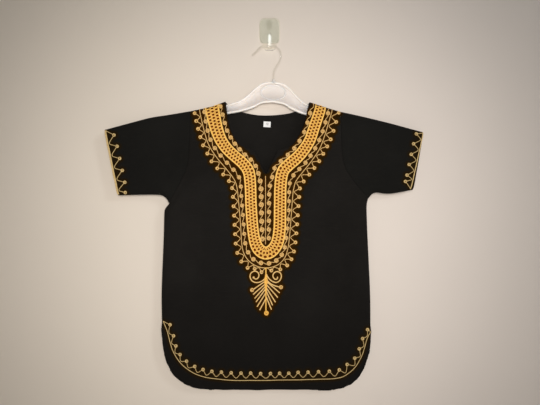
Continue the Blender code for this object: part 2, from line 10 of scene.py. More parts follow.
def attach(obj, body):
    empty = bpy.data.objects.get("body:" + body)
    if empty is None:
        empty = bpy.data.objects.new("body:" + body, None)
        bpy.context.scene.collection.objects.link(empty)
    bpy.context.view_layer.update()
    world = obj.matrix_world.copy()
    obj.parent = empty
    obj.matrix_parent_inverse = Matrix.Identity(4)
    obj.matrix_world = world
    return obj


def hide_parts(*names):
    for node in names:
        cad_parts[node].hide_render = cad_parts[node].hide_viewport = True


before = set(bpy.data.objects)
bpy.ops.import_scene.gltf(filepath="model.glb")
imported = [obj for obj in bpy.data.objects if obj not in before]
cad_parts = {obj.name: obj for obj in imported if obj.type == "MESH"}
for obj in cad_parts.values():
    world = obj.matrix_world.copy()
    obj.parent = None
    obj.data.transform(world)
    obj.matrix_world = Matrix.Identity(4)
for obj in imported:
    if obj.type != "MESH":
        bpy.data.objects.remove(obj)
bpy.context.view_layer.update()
print("frame loaded:", ", ".join(sorted(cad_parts)))

mm = 0.001  # lengths below are in millimetres; x runs right, z up, the front faces -y


def smoothCurve(points, steps=12):
    # a Catmull-Rom curve through all the points
    pts = np.array(points, float)
    ends = np.vstack([2 * pts[0] - pts[1], pts, 2 * pts[-1] - pts[-2]])
    t = (np.arange(steps) / steps)[:, None]
    spans = [0.5 * (2 * b + (c - a) * t + (2 * a - 5 * b + 4 * c - d) * t ** 2
                    + (3 * b - a - 3 * c + d) * t ** 3)
             for a, b, c, d in zip(ends, ends[1:], ends[2:], ends[3:])]
    return np.vstack(spans + [pts[-1:]])


def runOf(curve):
    return np.concatenate([[0.0], np.cumsum(np.linalg.norm(np.diff(curve, axis=0), axis=1))])


def along(curve, distances):
    run = runOf(curve)
    return np.stack([np.interp(distances, run, curve[:, k]) for k in range(curve.shape[1])], 1)


def resample(curve, step):
    curve = np.asarray(curve, float)
    length = runOf(curve)[-1]
    return along(curve, np.linspace(0.0, length, max(int(round(length / step)), 2) + 1))


def sideways(curve, distances):
    # unit vectors across a flat (x, z) curve, to the left of its direction
    middle = np.clip(distances, 0.5, runOf(curve)[-1] - 0.5)
    ahead = along(curve, middle + 0.5) - along(curve, middle - 0.5)
    ahead /= np.linalg.norm(ahead, axis=1)[:, None]
    return np.stack([-ahead[:, 1], ahead[:, 0]], 1)


def offBy(curve, distances, offsets):
    # flat places beside a curve, at distances along it
    return along(curve, distances) + sideways(curve, distances) * np.asarray(offsets)[..., None]


# the shirt's cut; rows are (left x, left z, right x, right z): distances out from the centre line, and
# heights
cut = {
    "centreX": -6.6,
    "hemZ": -670,
    "tail": (
        (0, -670, 0, -670), (100, -670, 108, -670), (126, -667, 134, -667.5), (146, -660.5, 152, -662),
        (162.5, -651, 166.5, -652), (176, -634, 178.5, -635), (184.5, -616, 185.8, -616.5),
        (190.5, -588, 192, -592), (193.4, -548, 194, -552)),
    "sideSeam": (
        (193.4, -548, 194, -552), (193.8, -486, 193.2, -490), (190.2, -394, 188.8, -394),
        (188.9, -347, 186.9, -347), (187.2, -336, 186.8, -328.6), (179.5, -325.5, 189.2, -317.1)),
    "armhole": (
        (179.5, -325.5, 189.2, -317.1), (158.5, -288, 160, -283), (145.5, -258.8, 145, -258.8),
        (141, -227.6, 139.5, -227.6), (138.4, -166.5, 137.6, -168), (138.8, -154.4, 138, -155.8)),
    "shoulder": (
        (138.8, -154.4, 138, -155.8), (100.4, -146, 111.4, -148), (75.7, -136.9, 81.1, -138)),
    "neckSlit": ((0, -273.5, 0, -273.5), (22, -229, 22, -229)),
    "neckFront": (
        (22, -229, 22, -229), (46.2, -220.5, 46, -220.5), (58.7, -205, 58.8, -205),
        (69, -181, 70.5, -181), (72.8, -149.5, 77, -150.5), (75.7, -136.9, 81.1, -138)),
    "neckBack": (
        (0, -161, 0, -161), (16, -160.3, 18, -160.3), (34, -157.3, 40, -157.6), (52, -152.3, 57, -153),
        (66, -146, 71, -147), (75.7, -136.9, 81.1, -138)),
    "sleeveTop": (
        (138.8, -154.4, 138, -155.8), (178.4, -161.1, 178.3, -164.6), (211.9, -166.3, 222.9, -175.4),
        (245.3, -174.8, 246, -181.5), (298.2, -189.1, 289.6, -193.4)),
    "sleeveUnder": (
        (179.5, -325.5, 189.2, -317.1), (185, -316.5, 195.5, -309.5), (197, -310.2, 205, -305.8),
        (234.2, -309.9, 230.3, -307.8), (273.2, -311, 271.4, -300.8)),
}

form = {
    "edgeRound": 12,  # how far the turn at a side or shoulder reaches in
    "seamLip": 0.65,  # half the width of the flat strip where front and back meet
    "seamGap": 0.15,
    "sleeveStart": 140,
    "sleeveReach": 160,
    "sleeveFlatness": 0.68,
    # (height, seam plane y, depth to the front, depth to the back)
    "filling": (
        (-670, -13, 5.5, 4.5), (-500, -13.3, 8.5, 7.5), (-330, -13.6, 10.5, 9), (-200, -14, 11, 9.2),
        (-137, -14, 10.2, 9.8)),
    # soft troughs: (x from, z from, x to, z to, half width, depth)
    "folds": (
        (-152, -275, -186, -330, 7, 2.2), (-168, -283, -192, -309, 6, 1.8), (148, -275, 204, -291, 6, 2),
        (158, -291, 190, -306, 6, 1.8), (-125, -290, -125, -560, 10, 1), (131, -250, 131, -620, 10, 1.2),
        (8, -540, 8, -650, 12, 0.9)),
    "backFolds": 0.6,  # their depth on the back, of the depth on the front
    # pressed and worn-in creases: the same columns, with a height that may be negative
    "creasesFront": (
        (-131, -282, -133, -545, 2, 0.55), (122, -248, 125, -615, 2, 0.55),
        (0.5, -538, -1.5, -640, 2.2, 0.4), (-194, -404, -75, -402, 1.8, 0.35),
        (56, -403, 188, -405, 1.8, 0.35), (-168, -262, -199, -306, 4.5, 1.3),
        (-176, -272, -214, -300, 4, 1.1), (-160, -302, -183, -350, 4.5, 1),
        (146, -268, 196, -288, 4.5, 1.2), (152, -300, 184, -340, 5, 1), (160, -284, 214, -300, 4, 1),
        (-180, -330, -120, -420, 9, 0.8), (176, -330, 128, -400, 8, 0.7),
        (-150, -180, -165, -262, 6, 0.7), (150, -185, 158, -258, 6, 0.6),
        (-225, -180, -236, -300, 7, 0.6), (215, -190, 224, -296, 7, 0.6), (-95, -520, -60, -662, 9, 0.7),
        (60, -560, 84, -662, 9, 0.7), (-40, -560, -34, -664, 7, -0.6), (150, -560, 140, -650, 8, -0.6),
        (-170, -560, -150, -640, 8, 0.6)),
    "creasesBack": (
        (-133, -240, -133, -600, 2, 0.55), (122, -240, 122, -620, 2, 0.55), (-7, -300, -7, -640, 2, 0.5),
        (-190, -404, 180, -404, 1.8, 0.4), (-168, -262, -199, -306, 5, 1.1),
        (146, -268, 200, -300, 5, 1.1), (-160, -200, -120, -330, 9, 0.7), (140, -200, 110, -330, 9, 0.7)),
    # slow waves of cloth that hangs nearly flat: (height, length, turn, phase)
    "waves": (
        (0.32, 61, 0.35, 5), (0.24, 43, -0.8, 21), (0.16, 27, 1.9, 11), (0.10, 17, 0.9, 3)),
    "backShift": 40,  # moves the back's waves away from the front's
    # creases are weak where the hanger's arms hold the cloth: (height, fade below it, least share)
    "calm": (-190, 30, 0.15),
}
centreX = cut["centreX"]


def sideCurve(rows, side):
    # one side's curve from a table with the cut's columns
    pick = 0 if side < 0 else 2
    return smoothCurve([(centreX + side * row[pick], row[pick + 1]) for row in rows])


def edgeCurve(name, side):
    return sideCurve(cut[name], side)


def roundCurve(rows, steps=12):
    # left side from the shoulder down, round the bottom and up the right side
    left = [(centreX - row[0], row[1]) for row in rows[::-1]]
    return smoothCurve(left + [(centreX + row[2], row[3]) for row in rows[1:]], steps)


closedEdges = [edgeCurve(name, side) for side in (-1, 1)
               for name in ("shoulder", "sleeveTop", "sleeveUnder", "sideSeam")]
edgeStart = np.vstack([line[:-1] for line in closedEdges])
edgeStep = np.vstack([np.diff(line, axis=0) for line in closedEdges])


def distanceToEdges(x, z):
    places = np.stack([np.ravel(x), np.ravel(z)], 1)
    nearest = np.empty(len(places))
    batch = 6000  # keeps the tables small
    for first in range(0, len(places), batch):
        gap = places[first:first + batch, None] - edgeStart
        share = np.clip((gap * edgeStep).sum(-1) / (edgeStep ** 2).sum(-1), 0.0, 1.0)
        gap -= share[..., None] * edgeStep
        nearest[first:first + batch] = np.sqrt((gap ** 2).sum(-1)).min(1)
    return nearest.reshape(np.shape(x))


def creaseHeight(x, z, table):
    total = np.zeros(np.shape(x))
    for x0, z0, x1, z1, halfWidth, height in table:
        runX, runZ = x1 - x0, z1 - z0
        share = ((x - x0) * runX + (z - z0) * runZ) / (runX ** 2 + runZ ** 2)
        aside = np.hypot(x - x0 - share * runX, z - z0 - share * runZ)
        taper = np.sqrt(np.clip(np.sin(pi * np.clip(share, 0.0, 1.0)), 0.0, 1.0))
        total += height * taper * np.exp(-(aside / halfWidth) ** 2)
    return total


def surfaceY(x, z, face):
    # depth of the cloth's outer face: face is -1 for the front and 1 for the back
    heights, seams, fronts, backs = np.array(form["filling"]).T
    seam = np.interp(z, heights, seams)
    depth = np.interp(z, heights, fronts if face < 0 else backs)
    out = np.clip((np.abs(x - centreX) - form["sleeveStart"]) / form["sleeveReach"], 0.0, 1.0)
    depth = depth * (1.0 - (1.0 - form["sleeveFlatness"]) * out)
    reach = np.clip(distanceToEdges(x, z) / form["edgeRound"], 0.0, 1.0)
    turned = np.sqrt(1.0 - (1.0 - reach) ** 2)
    troughs = creaseHeight(x, z, form["folds"]) * (1.0 if face < 0 else form["backFolds"])
    raised = creaseHeight(x, z, form["creasesFront" if face < 0 else "creasesBack"])
    shifted = z + (0.0 if face < 0 else form["backShift"])
    for height, length, turn, phase in form["waves"]:
        raised += height * np.sin(2 * pi * (x * cos(turn) + shifted * sin(turn) + phase) / length)
    calmTop, calmReach, calmLeast = form["calm"]
    raised *= np.clip((calmTop - z) / calmReach, calmLeast, 1.0)
    return seam + face * (form["seamLip"] + (depth - form["seamLip"] - troughs + raised) * turned)


def seamY(z, face):
    heights, seams = np.array(form["filling"]).T[:2]
    return np.interp(z, heights, seams) + face * form["seamGap"]


def surfaceFrame(x, z, face):
    # points on the outer face, with its outward normals
    near = 0.15
    slopeX = (surfaceY(x + near, z, face) - surfaceY(x - near, z, face)) / (2 * near)
    slopeZ = (surfaceY(x, z + near, face) - surfaceY(x, z - near, face)) / (2 * near)
    normals = face * np.stack([-slopeX, np.ones_like(slopeX), -slopeZ], -1)
    normals /= np.linalg.norm(normals, axis=-1)[..., None]
    return np.stack([x, surfaceY(x, z, face), z], -1), normals


def meshPiece(name, points, faces, material, sharpAngle=50.0, outward=False):
    mesh = bpy.data.meshes.new(name)
    mesh.from_pydata((np.asarray(points, float) * mm).tolist(), [], faces)
    mesh.materials.append(material)
    piece = bpy.data.objects.new(name, mesh)
    bpy.context.scene.collection.objects.link(piece)
    mesh.shade_smooth()
    mesh.set_sharp_from_angle(angle=radians(sharpAngle))
    if outward:
        work = bmesh.new()
        work.from_mesh(mesh)
        bmesh.ops.recalc_face_normals(work, faces=work.faces)
        work.to_mesh(mesh)
        work.free()
    return piece


def gridFaces(rows, columns, closed=False, flip=False, start=0):
    # quads between rows of points; closed joins the last column to the first
    r, c = np.meshgrid(np.arange(rows - 1), np.arange(columns if closed else columns - 1), indexing="ij")
    after = (c + 1) % columns
    quads = np.stack([r * columns + c, r * columns + after,
                      (r + 1) * columns + after, (r + 1) * columns + c], -1).reshape(-1, 4) + start
    return quads[:, ::-1] if flip else quads


def tubeFaces(rings, count, closed=False, start=0):
    # faces round a row of rings; the last ring meets the first when closed, or else both ends are capped
    faces = (gridFaces(rings + closed, count, closed=True) % (rings * count) + start).tolist()
    if not closed:
        last = start + (rings - 1) * count
        faces += [list(range(start, start + count))[::-1], list(range(last, last + count))]
    return faces


def loft(name, rings, material, sharpAngle=40.0, closed=False):
    # a closed solid through rings with the same number of points
    faces = tubeFaces(len(rings), len(rings[0]), closed)
    return meshPiece(name, np.vstack(rings), faces, material, sharpAngle, outward=True)


def withoutRepeats(quads):
    # faces as lists; a quad that weld has pinched becomes a triangle
    faces = [list(dict.fromkeys(quad)) for quad in quads.tolist()]
    return [face for face in faces if len(face) > 2]


def weld(points, faces, *others):
    # joins points that lie at the same place
    _, first, back = np.unique(np.round(points, 3), axis=0, return_index=True, return_inverse=True)
    return [points[first], back.ravel()[faces]] + [other[first] for other in others]


def openEdges(faces, count):
    # the edges (from, to) that only one of the quads has
    around = np.vstack([faces[:, [k, (k + 1) % 4]] for k in range(4)])
    codes = around[:, 0] * count + around[:, 1]
    return around[~np.isin(codes, around[:, 1] * count + around[:, 0])]


def slab(name, front, back, faces, material):
    # a closed solid between two skins that have the same quads
    count = len(front)
    a, b = openEdges(faces, count).T
    walls = np.stack([b, a, a + count, b + count], 1)
    quads = withoutRepeats(np.vstack([faces, faces[:, ::-1] + count, walls]))
    return meshPiece(name, np.vstack([front, back]), quads, material, outward=True)


def clothShell(name, points, faces, wall, held, material):
    # a thin closed shell from an outer skin; wall is its thickness at each point, and held the
    # directions in which the inner skin may not lean, one for each point or zero
    probe = bpy.data.meshes.new("probe")
    probe.from_pydata(points.tolist(), [], withoutRepeats(faces))
    normals = np.array([vertex.normal for vertex in probe.vertices])
    bpy.data.meshes.remove(probe)
    normals -= held * (normals * held).sum(1)[:, None]
    normals /= np.linalg.norm(normals, axis=1)[:, None]
    count = len(points)
    inner = points - normals * wall[:, None]
    a, b = openEdges(faces, count).T
    starts = np.unique(a)
    middle = np.full(count, -1)
    middle[starts] = 2 * count + np.arange(len(starts))
    # the rim's middle line stands out by a share of the wall, so that a turned edge is round
    standOut = 0.3
    out = np.zeros((count, 3))
    outward = np.cross(points[b] - points[a], normals[a])
    np.add.at(out, a, outward)
    np.add.at(out, b, outward)
    out = out[starts] / np.maximum(np.linalg.norm(out[starts], axis=1), 1e-9)[:, None]
    bulge = (points[starts] + inner[starts]) / 2 + out * wall[starts, None] * standOut
    outerRim = np.stack([b, a, middle[a], middle[b]], 1)
    innerRim = np.stack([middle[b], middle[a], a + count, b + count], 1)
    allFaces = withoutRepeats(np.vstack([faces, faces[:, ::-1] + count, outerRim, innerRim]))
    return meshPiece(name, np.vstack([points, inner, bulge]), allFaces, material, 60.0)


def vertexTable(mesh, kind="co"):
    table = np.empty(len(mesh.vertices) * 3)
    mesh.vertices.foreach_get(kind, table)
    return table.reshape(-1, 3)


def markPoints(piece, label, values):
    marks = piece.data.attributes.new(label, "FLOAT", "POINT")
    marks.data.foreach_set("value", values.astype(np.float32))


# materials; plainWeave and stitchThread are groups, placed by each material with its own values
def nodeGroup(name, inputs, outputs):
    group = bpy.data.node_groups.new(name, "ShaderNodeTree")
    for label, value in inputs:
        group.interface.new_socket(label, in_out="INPUT", socket_type="NodeSocketFloat").default_value = value
    for label in outputs:
        group.interface.new_socket(label, in_out="OUTPUT", socket_type="NodeSocketFloat")
    return group, group.nodes.new("NodeGroupInput").outputs, group.nodes.new("NodeGroupOutput").inputs


def addNode(tree, kind, links=(), **values):
    # links are (input name or number, socket or value)
    node = tree.nodes.new("ShaderNode" + kind)
    for key, value in values.items():
        setattr(node, key, value)
    for socket, source in links:
        if isinstance(source, bpy.types.NodeSocket):
            tree.links.new(source, node.inputs[socket])
        else:
            node.inputs[socket].default_value = source
    return node


def calculate(tree, operation, *terms):
    return addNode(tree, "Math", list(enumerate(terms)), operation=operation).outputs[0]


def moved(tree, operation, *terms):
    # a vector sum, product or length; SCALE takes its factor by name
    second = "Scale" if operation == "SCALE" else 1
    node = addNode(tree, "VectorMath", list(zip((0, second), terms)), operation=operation)
    return node.outputs["Value" if operation == "LENGTH" else 0]


def mapRange(tree, value, low, high, top=1.0):
    links = [("Value", value), ("From Min", low), ("From Max", high), ("To Max", top)]
    return addNode(tree, "MapRange", links).outputs[0]


def noise(tree, place, scale, detail):
    return addNode(tree, "TexNoise", [("Vector", place), ("Scale", scale), ("Detail", detail)]).outputs[0]


def placeOf(tree):
    return addNode(tree, "TexCoord").outputs["Object"]


def axesOf(tree, vector):
    return addNode(tree, "SeparateXYZ", [(0, vector)]).outputs


def blend(tree, share, first, second):
    # a mix of two colours, each a socket or (red, green, blue)
    node = addNode(tree, "Mix", data_type="RGBA")
    for label, source in (("Factor", share), ("A", first), ("B", second)):
        target = [socket for socket in node.inputs if socket.name == label and socket.enabled][0]
        if isinstance(source, bpy.types.NodeSocket):
            tree.links.new(source, target)
        else:
            target.default_value = (*source, 1.0)
    return [socket for socket in node.outputs if socket.enabled][0]


def plainWeaveGroup():
    # over-and-under threads in the cloth's own plane, with slubs and slow fading
    group, given, made = nodeGroup("plainWeave", (("Threads per metre", 1800.0), ("Turn", 0.0)),
                                   ("Height", "Slubs", "Fading"))
    place = placeOf(group)
    turned = addNode(group, "VectorRotate", [("Vector", place), ("Angle", given["Turn"])],
                     rotation_type="Y_AXIS").outputs[0]
    axes = axesOf(group, moved(group, "SCALE", turned, given["Threads per metre"]))
    ribs, cells = [], []
    for axis in (axes["X"], axes["Z"]):
        wave = calculate(group, "SINE", calculate(group, "MULTIPLY", axis, pi))
        ribs.append(calculate(group, "ABSOLUTE", wave))
        cells.append(calculate(group, "FLOOR", axis))
    parity = calculate(group, "PINGPONG", calculate(group, "ADD", *cells), 1.0)
    over = calculate(group, "MULTIPLY", ribs[0], parity)
    under = calculate(group, "MULTIPLY", ribs[1], calculate(group, "SUBTRACT", 1.0, parity))
    group.links.new(calculate(group, "ADD", over, under), made["Height"])
    stretched = moved(group, "MULTIPLY", turned, (60.0, 60.0, 900.0))
    group.links.new(noise(group, stretched, 1.0, 3.0), made["Slubs"])
    group.links.new(noise(group, place, 9.0, 4.0), made["Fading"])
    return group


def threadGroup():
    # twisted strands that run along a stitch; the map "stitch" holds (length, turn) of each line
    group, given, made = nodeGroup("stitchThread", (("Twists", 1.0),), ("Height", "Shade"))
    axes = axesOf(group, addNode(group, "UVMap", uv_map="stitch").outputs[0])
    lengthwise = calculate(group, "MULTIPLY", axes["X"], given["Twists"])
    slanted = calculate(group, "ADD", lengthwise, calculate(group, "MULTIPLY", axes["Y"], 3.0))
    strands = calculate(group, "SINE", calculate(group, "MULTIPLY", slanted, 2 * pi))
    group.links.new(strands, made["Height"])
    group.links.new(noise(group, placeOf(group), 420.0, 2.0), made["Shade"])
    return group


plainWeave = plainWeaveGroup()
stitchThread = threadGroup()


def newMaterial(name, **settings):
    material = bpy.data.materials.new(name)
    material.use_nodes = True
    shader = material.node_tree.nodes["Principled BSDF"]
    for label, value in settings.items():
        shader.inputs[label.replace("_", " ")].default_value = value
    return material, material.node_tree, shader


def colourAndBump(tree, shader, base, height, strength, distance):
    tree.links.new(base, shader.inputs["Base Color"])
    bump = addNode(tree, "Bump", [("Height", height), ("Strength", strength), ("Distance", distance)])
    tree.links.new(bump.outputs[0], shader.inputs["Normal"])


def orClear(tree, shader, share, colour):
    # lets a share of the light straight through
    clear = addNode(tree, "BsdfTransparent", [("Color", (*colour, 1.0))])
    mix = addNode(tree, "MixShader", [(0, share), (1, shader.outputs[0]), (2, clear.outputs[0])])
    tree.links.new(mix.outputs[0], tree.nodes["Material Output"].inputs["Surface"])


cotton = {
    "body": ((0.0083, 0.0073, 0.0063), (0.0112, 0.0099, 0.0086)),
    "sleeve": ((0.0072, 0.0067, 0.0058), (0.0092, 0.0086, 0.0074)),
    "lint": 2.2,  # how much lighter the slubs are
    "lintShare": 0.35,
    "skirt": (-0.46, -0.62, 0.72, 0.8),  # heights from and to, in metres, its tone and the share of that tone
    # browner cloth by the borders, round the neck and under the band: painted warm light thrown back from the
    # gold thread
    "besideGold": ((0.0140, 0.0066, 0), (0.036, 0.0108, 0), (0.115, 0.022, 0)),
}


def clothMaterial(name, colour, faded, turn):
    material, tree, shader = newMaterial(name, Roughness=0.88, Sheen_Weight=0.03, Sheen_Roughness=0.45,
                                         Specular_IOR_Level=0.03, Sheen_Tint=(0.9, 0.8, 0.7, 1.0))
    weave = addNode(tree, "Group", node_tree=plainWeave)
    weave.inputs["Turn"].default_value = turn
    base = blend(tree, mapRange(tree, weave.outputs["Fading"], 0.35, 0.65), colour, faded)
    lint = mapRange(tree, weave.outputs["Slubs"], 0.6, 0.8, cotton["lintShare"])
    base = blend(tree, lint, base, [c * cotton["lint"] for c in faded])
    # the cloth is darker towards the hem
    high, low, tone, most = cotton["skirt"]
    lower = mapRange(tree, axesOf(tree, placeOf(tree))["Z"], high, low, most)
    base = blend(tree, lower, base, [c * tone for c in colour])
    # painted warm light from the gold thread on the cloth beside it
    beside = addNode(tree, "Attribute", attribute_name="besideStitches").outputs["Fac"]
    for step, brown in enumerate(cotton["besideGold"]):
        base = blend(tree, mapRange(tree, beside, step / 3, (step + 1) / 3), base, brown)
    grain = calculate(tree, "ADD", weave.outputs["Height"], weave.outputs["Slubs"])
    colourAndBump(tree, shader, base, grain, 0.25, 0.00015)
    return material


def goldMaterial(name, colour, shaded):
    material, tree, shader = newMaterial(name, Roughness=0.48, Sheen_Weight=0.12, Sheen_Roughness=0.4,
                                         Specular_IOR_Level=0.55, Sheen_Tint=(1.0, 0.82, 0.45, 1.0),
                                         Specular_Tint=(1.0, 0.80, 0.42, 1.0))
    strands = addNode(tree, "Group", node_tree=stitchThread)
    strands.inputs["Twists"].default_value = 1.1
    base = blend(tree, mapRange(tree, strands.outputs["Shade"], 0.3, 0.7), shaded, colour)
    colourAndBump(tree, shader, base, strands.outputs["Height"], 0.35, 0.0001)
    return material


bodyCotton = clothMaterial("bodyCotton", *cotton["body"], 0.0)
sleeveCotton = clothMaterial("sleeveCotton", *cotton["sleeve"], 0.22)
bandGold = goldMaterial("bandGold", (0.97, 0.62, 0.17), (0.80, 0.475, 0.095))
lineGold = goldMaterial("lineGold", (0.73, 0.48, 0.19), (0.60, 0.37, 0.125))
stemGold = goldMaterial("stemGold", (0.88, 0.53, 0.12), (0.76, 0.42, 0.08))
hemGold = goldMaterial("hemGold", (0.62, 0.45, 0.21), (0.49, 0.34, 0.145))
# a darker gold for the ground under the rings: painted shade in the gaps between the strands
shadedGroundGold = goldMaterial("shadedGroundGold", (0.61, 0.34, 0.055), (0.39, 0.19, 0.012))
print("materials made")

panel = {
    "wall": 0.55,
    "hemWall": 1.2,  # where the edge is turned in twice
    "hemWidth": 11,
    "neckHem": 6.6,
    "hemStep": 1.5,  # over which the wall grows to a hem's
    "firstInset": 0.5,  # the first row in from an edge that isn't sewn
    "columns": 54,
    "tailStart": 0.35,  # the first row lies along the straight hem, up to this share of the tail's curve
    "tailRows": 46,
    "seamRows": 72,
    "armholeRows": 44,
    # up the centre line to the neck, and up its slit: front, back
    "belowNeckRows": (14, 30),
    "slitRows": (10, 0),
    "seamRoll": 0.75,  # how far the cloth dips into the armhole seam
    "seamRollReach": 1.5,
    # a hem that isn't cut quite straight: (height, length, phase), and how far up the waves die away
    "hemWaves": ((0.35, 23, 0), (0.21, 9.5, 1), (0.14, 5.1, 2)),
    "hemWaveReach": 14,
}
turnIn = [form["edgeRound"] * (1.0 - cos(radians(angle))) for angle in np.arange(11.25, 91.0, 11.25)]


def even(count):
    return np.arange(1, count + 1) / count


def levelFractions(length, middle):
    # close together in the turns at both ends of a length
    near = [distance / length for distance in turnIn]
    between = near[-1] + (1.0 - 2.0 * near[-1]) * even(middle)
    return np.concatenate([[0.0], near, between, [1.0 - f for f in reversed(near[:-1])], [1.0]])


def outerPoints(side):
    tail, seam, armhole = (edgeCurve(name, side) for name in ("tail", "sideSeam", "armhole"))
    tailShares = np.linspace(panel["tailStart"], 1.0, panel["tailRows"])
    length = runOf(armhole)[-1]
    return (along(tail, tailShares * runOf(tail)[-1]), along(seam, even(panel["seamRows"]) * runOf(seam)[-1]),
            along(armhole, levelFractions(length, panel["armholeRows"])[1:] * length))


def innerPoints(face, side):
    # the matching points on the centre line, which both halves share, and on the neck edge
    left, right = outerPoints(-1), outerPoints(1)
    below = np.concatenate([(left[k][:, 1] + right[k][:, 1]) / 2 for k in (0, 1)])
    neck, slit = edgeCurve("neckFront" if face < 0 else "neckBack", side), edgeCurve("neckSlit", side)
    neckFoot = cut["neckSlit" if face < 0 else "neckBack"][0][1]
    belowRows, slitRows = (panel[part][(face + 1) // 2] for part in ("belowNeckRows", "slitRows"))
    rise = below[-1] + (neckFoot - below[-1]) * even(belowRows)
    centre = np.stack([np.full(len(below) + belowRows, centreX), np.concatenate([below, rise])], 1)
    top = runOf(neck)[-1] - np.array(turnIn[::-1] + [0.0])
    lower = top[0] * even(len(left[2]) - belowRows - slitRows - len(top) + 1)[:-1]
    return np.vstack([centre, along(slit, even(slitRows) * runOf(slit)[-1]) if slitRows else centre[:0],
                      along(neck, np.concatenate([lower, top]))])


def shoulderBow(side, share):
    # how far the shoulder line lies from a straight one
    line = edgeCurve("shoulder", side)
    return along(line, share * runOf(line)[-1]) - (line[0] + (line[-1] - line[0]) * share[:, None])


def edgeDistance(points, names):
    # distance from points to the cut edges with these names
    return np.min([np.linalg.norm(points[:, None, [0, 2]] - edgeCurve(name, side), axis=2).min(1)
                   for name in names for side in (-1, 1)], axis=0)


def buildPanel(name, face, material):
    # two halves, each of rows that run from its outer edge in to the centre line or the neck
    points, faces, held = [], [], []
    start = 0
    for side in (-1, 1):
        tail, seam, armhole = outerPoints(side)
        firstArmhole = len(tail) + len(seam)
        armholeRun = runOf(np.vstack([seam[-1:], armhole]))[1:]
        rollLimit = armholeRun[-1] - form["edgeRound"]
        rows, leans = [], []
        for index, (far, near) in enumerate(zip(np.vstack([tail, seam, armhole]), innerPoints(face, side))):
            sewn = len(tail) - 1 <= index < firstArmhole
            width = float(np.linalg.norm(far - near))
            insets = np.array([0.0, 0.0 if sewn else panel["firstInset"]] + turnIn)
            insets = np.concatenate([insets, insets[-1] + (width - insets[-1]) * even(panel["columns"])])
            place = far + (near - far) * (insets / width)[:, None]
            if index >= firstArmhole:
                bow = min(armholeRun[index - firstArmhole] / rollLimit, 1.0) ** 2
                place = place + shoulderBow(side, np.clip(insets / width, 0.0, 1.0)) * bow
            y = surfaceY(place[:, 0], place[:, 1], face)
            if index >= firstArmhole - 1:
                y -= face * panel["seamRoll"] * np.exp(-(insets / panel["seamRollReach"]) ** 2)
            lean = np.zeros((len(insets), 3))
            if sewn:
                y[0] = seamY(place[0, 1], face)
                lean[0, 1] = 1.0
            rows.append(np.stack([place[:, 0], y, place[:, 1]], 1))
            leans.append(lean)
        last = rows[-1].copy()  # the shoulder seam itself
        last[:, 1] = seamY(last[:, 2], face)
        rows.append(last)
        leans.append(np.tile([0.0, 1.0, 0.0], (len(last), 1)))
        points += rows
        held += leans
        faces.append(gridFaces(len(rows), len(last), flip=side * face < 0, start=start))
        start += len(rows) * len(last)
    points, faces, held = weld(np.vstack(points), np.vstack(faces), np.vstack(held))
    hem = panel["hemWidth"] - edgeDistance(points, ["tail"])
    neck = panel["neckHem"] - edgeDistance(points, ["neckSlit", "neckFront"] if face < 0 else ["neckBack"])
    turned = np.clip(np.maximum(hem, neck) / panel["hemStep"], 0.0, 1.0)
    wall = panel["wall"] + (panel["hemWall"] - panel["wall"]) * turned
    wave = sum(height * np.sin(points[:, 0] / length + phase) for height, length, phase in panel["hemWaves"])
    points[:, 2] += wave * np.exp(-(points[:, 2] - cut["hemZ"]) / panel["hemWaveReach"])
    return clothShell(name, points, faces, wall, held, material)


frontPanel = buildPanel("frontPanel", -1, bodyCotton)
backPanel = buildPanel("backPanel", 1, bodyCotton)
print("panels built:", len(frontPanel.data.polygons), "faces each")

sleeve = {
    "seamSteps": (0, 0.6, 1.4, 2.5),  # the rings beside the armhole
    "firstRing": 4,
    "rings": 44,
    "gap": 0.4,  # set off from the panels at the armhole
    "wall": 0.55,
    "hemWall": 1.3,
    "hemWidth": 12,
}


def buildSleeve(name, side, material):
    top, under, armhole = (edgeCurve(part, side) for part in ("sleeveTop", "sleeveUnder", "armhole"))
    armholeLength = runOf(armhole)[-1]
    fractions = levelFractions(armholeLength, panel["armholeRows"])[::-1]
    seam = along(armhole, fractions * armholeLength)
    across = -side * sideways(armhole, fractions * armholeLength)
    levels = levelFractions(float(np.linalg.norm(top[-1] - under[-1])), panel["armholeRows"])
    length = runOf(top)[-1]
    steps = np.concatenate([np.array(sleeve["seamSteps"]) / length,
                            np.linspace(sleeve["firstRing"] / length, 1.0, sleeve["rings"])])
    chord = seam[0] + (seam[-1] - seam[0]) * levels[:, None]
    tops, unders = along(top, steps * length), along(under, steps * runOf(under)[-1])
    rings = []
    for s, upper, lower in zip(steps, tops, unders):
        place = upper + (lower - upper) * levels[:, None]
        place = place + (seam - chord) * (1.0 - s) + across * sleeve["gap"]
        roll = panel["seamRoll"] * np.exp(-(s * length / panel["seamRollReach"]) ** 2)
        front, back = (np.stack([place[:, 0], surfaceY(place[:, 0], place[:, 1], face) - face * roll,
                                 place[:, 1]], 1) for face in (-1, 1))
        rings.append(np.vstack([front, back[::-1]]))
    faces = gridFaces(len(rings), len(rings[0]), closed=True, flip=side < 0)
    cuffGap = np.repeat((1.0 - steps) * length, len(rings[0]))
    turned = np.clip((sleeve["hemWidth"] - cuffGap) / panel["hemStep"], 0.0, 1.0)
    wall = sleeve["wall"] + (sleeve["hemWall"] - sleeve["wall"]) * turned
    points = np.vstack(rings)
    return clothShell(name, points, faces, wall, np.zeros((len(points), 3)), material)


sleeveLeft = buildSleeve("sleeveLeft", -1, sleeveCotton)
sleeveRight = buildSleeve("sleeveRight", 1, sleeveCotton)
print("sleeves built")

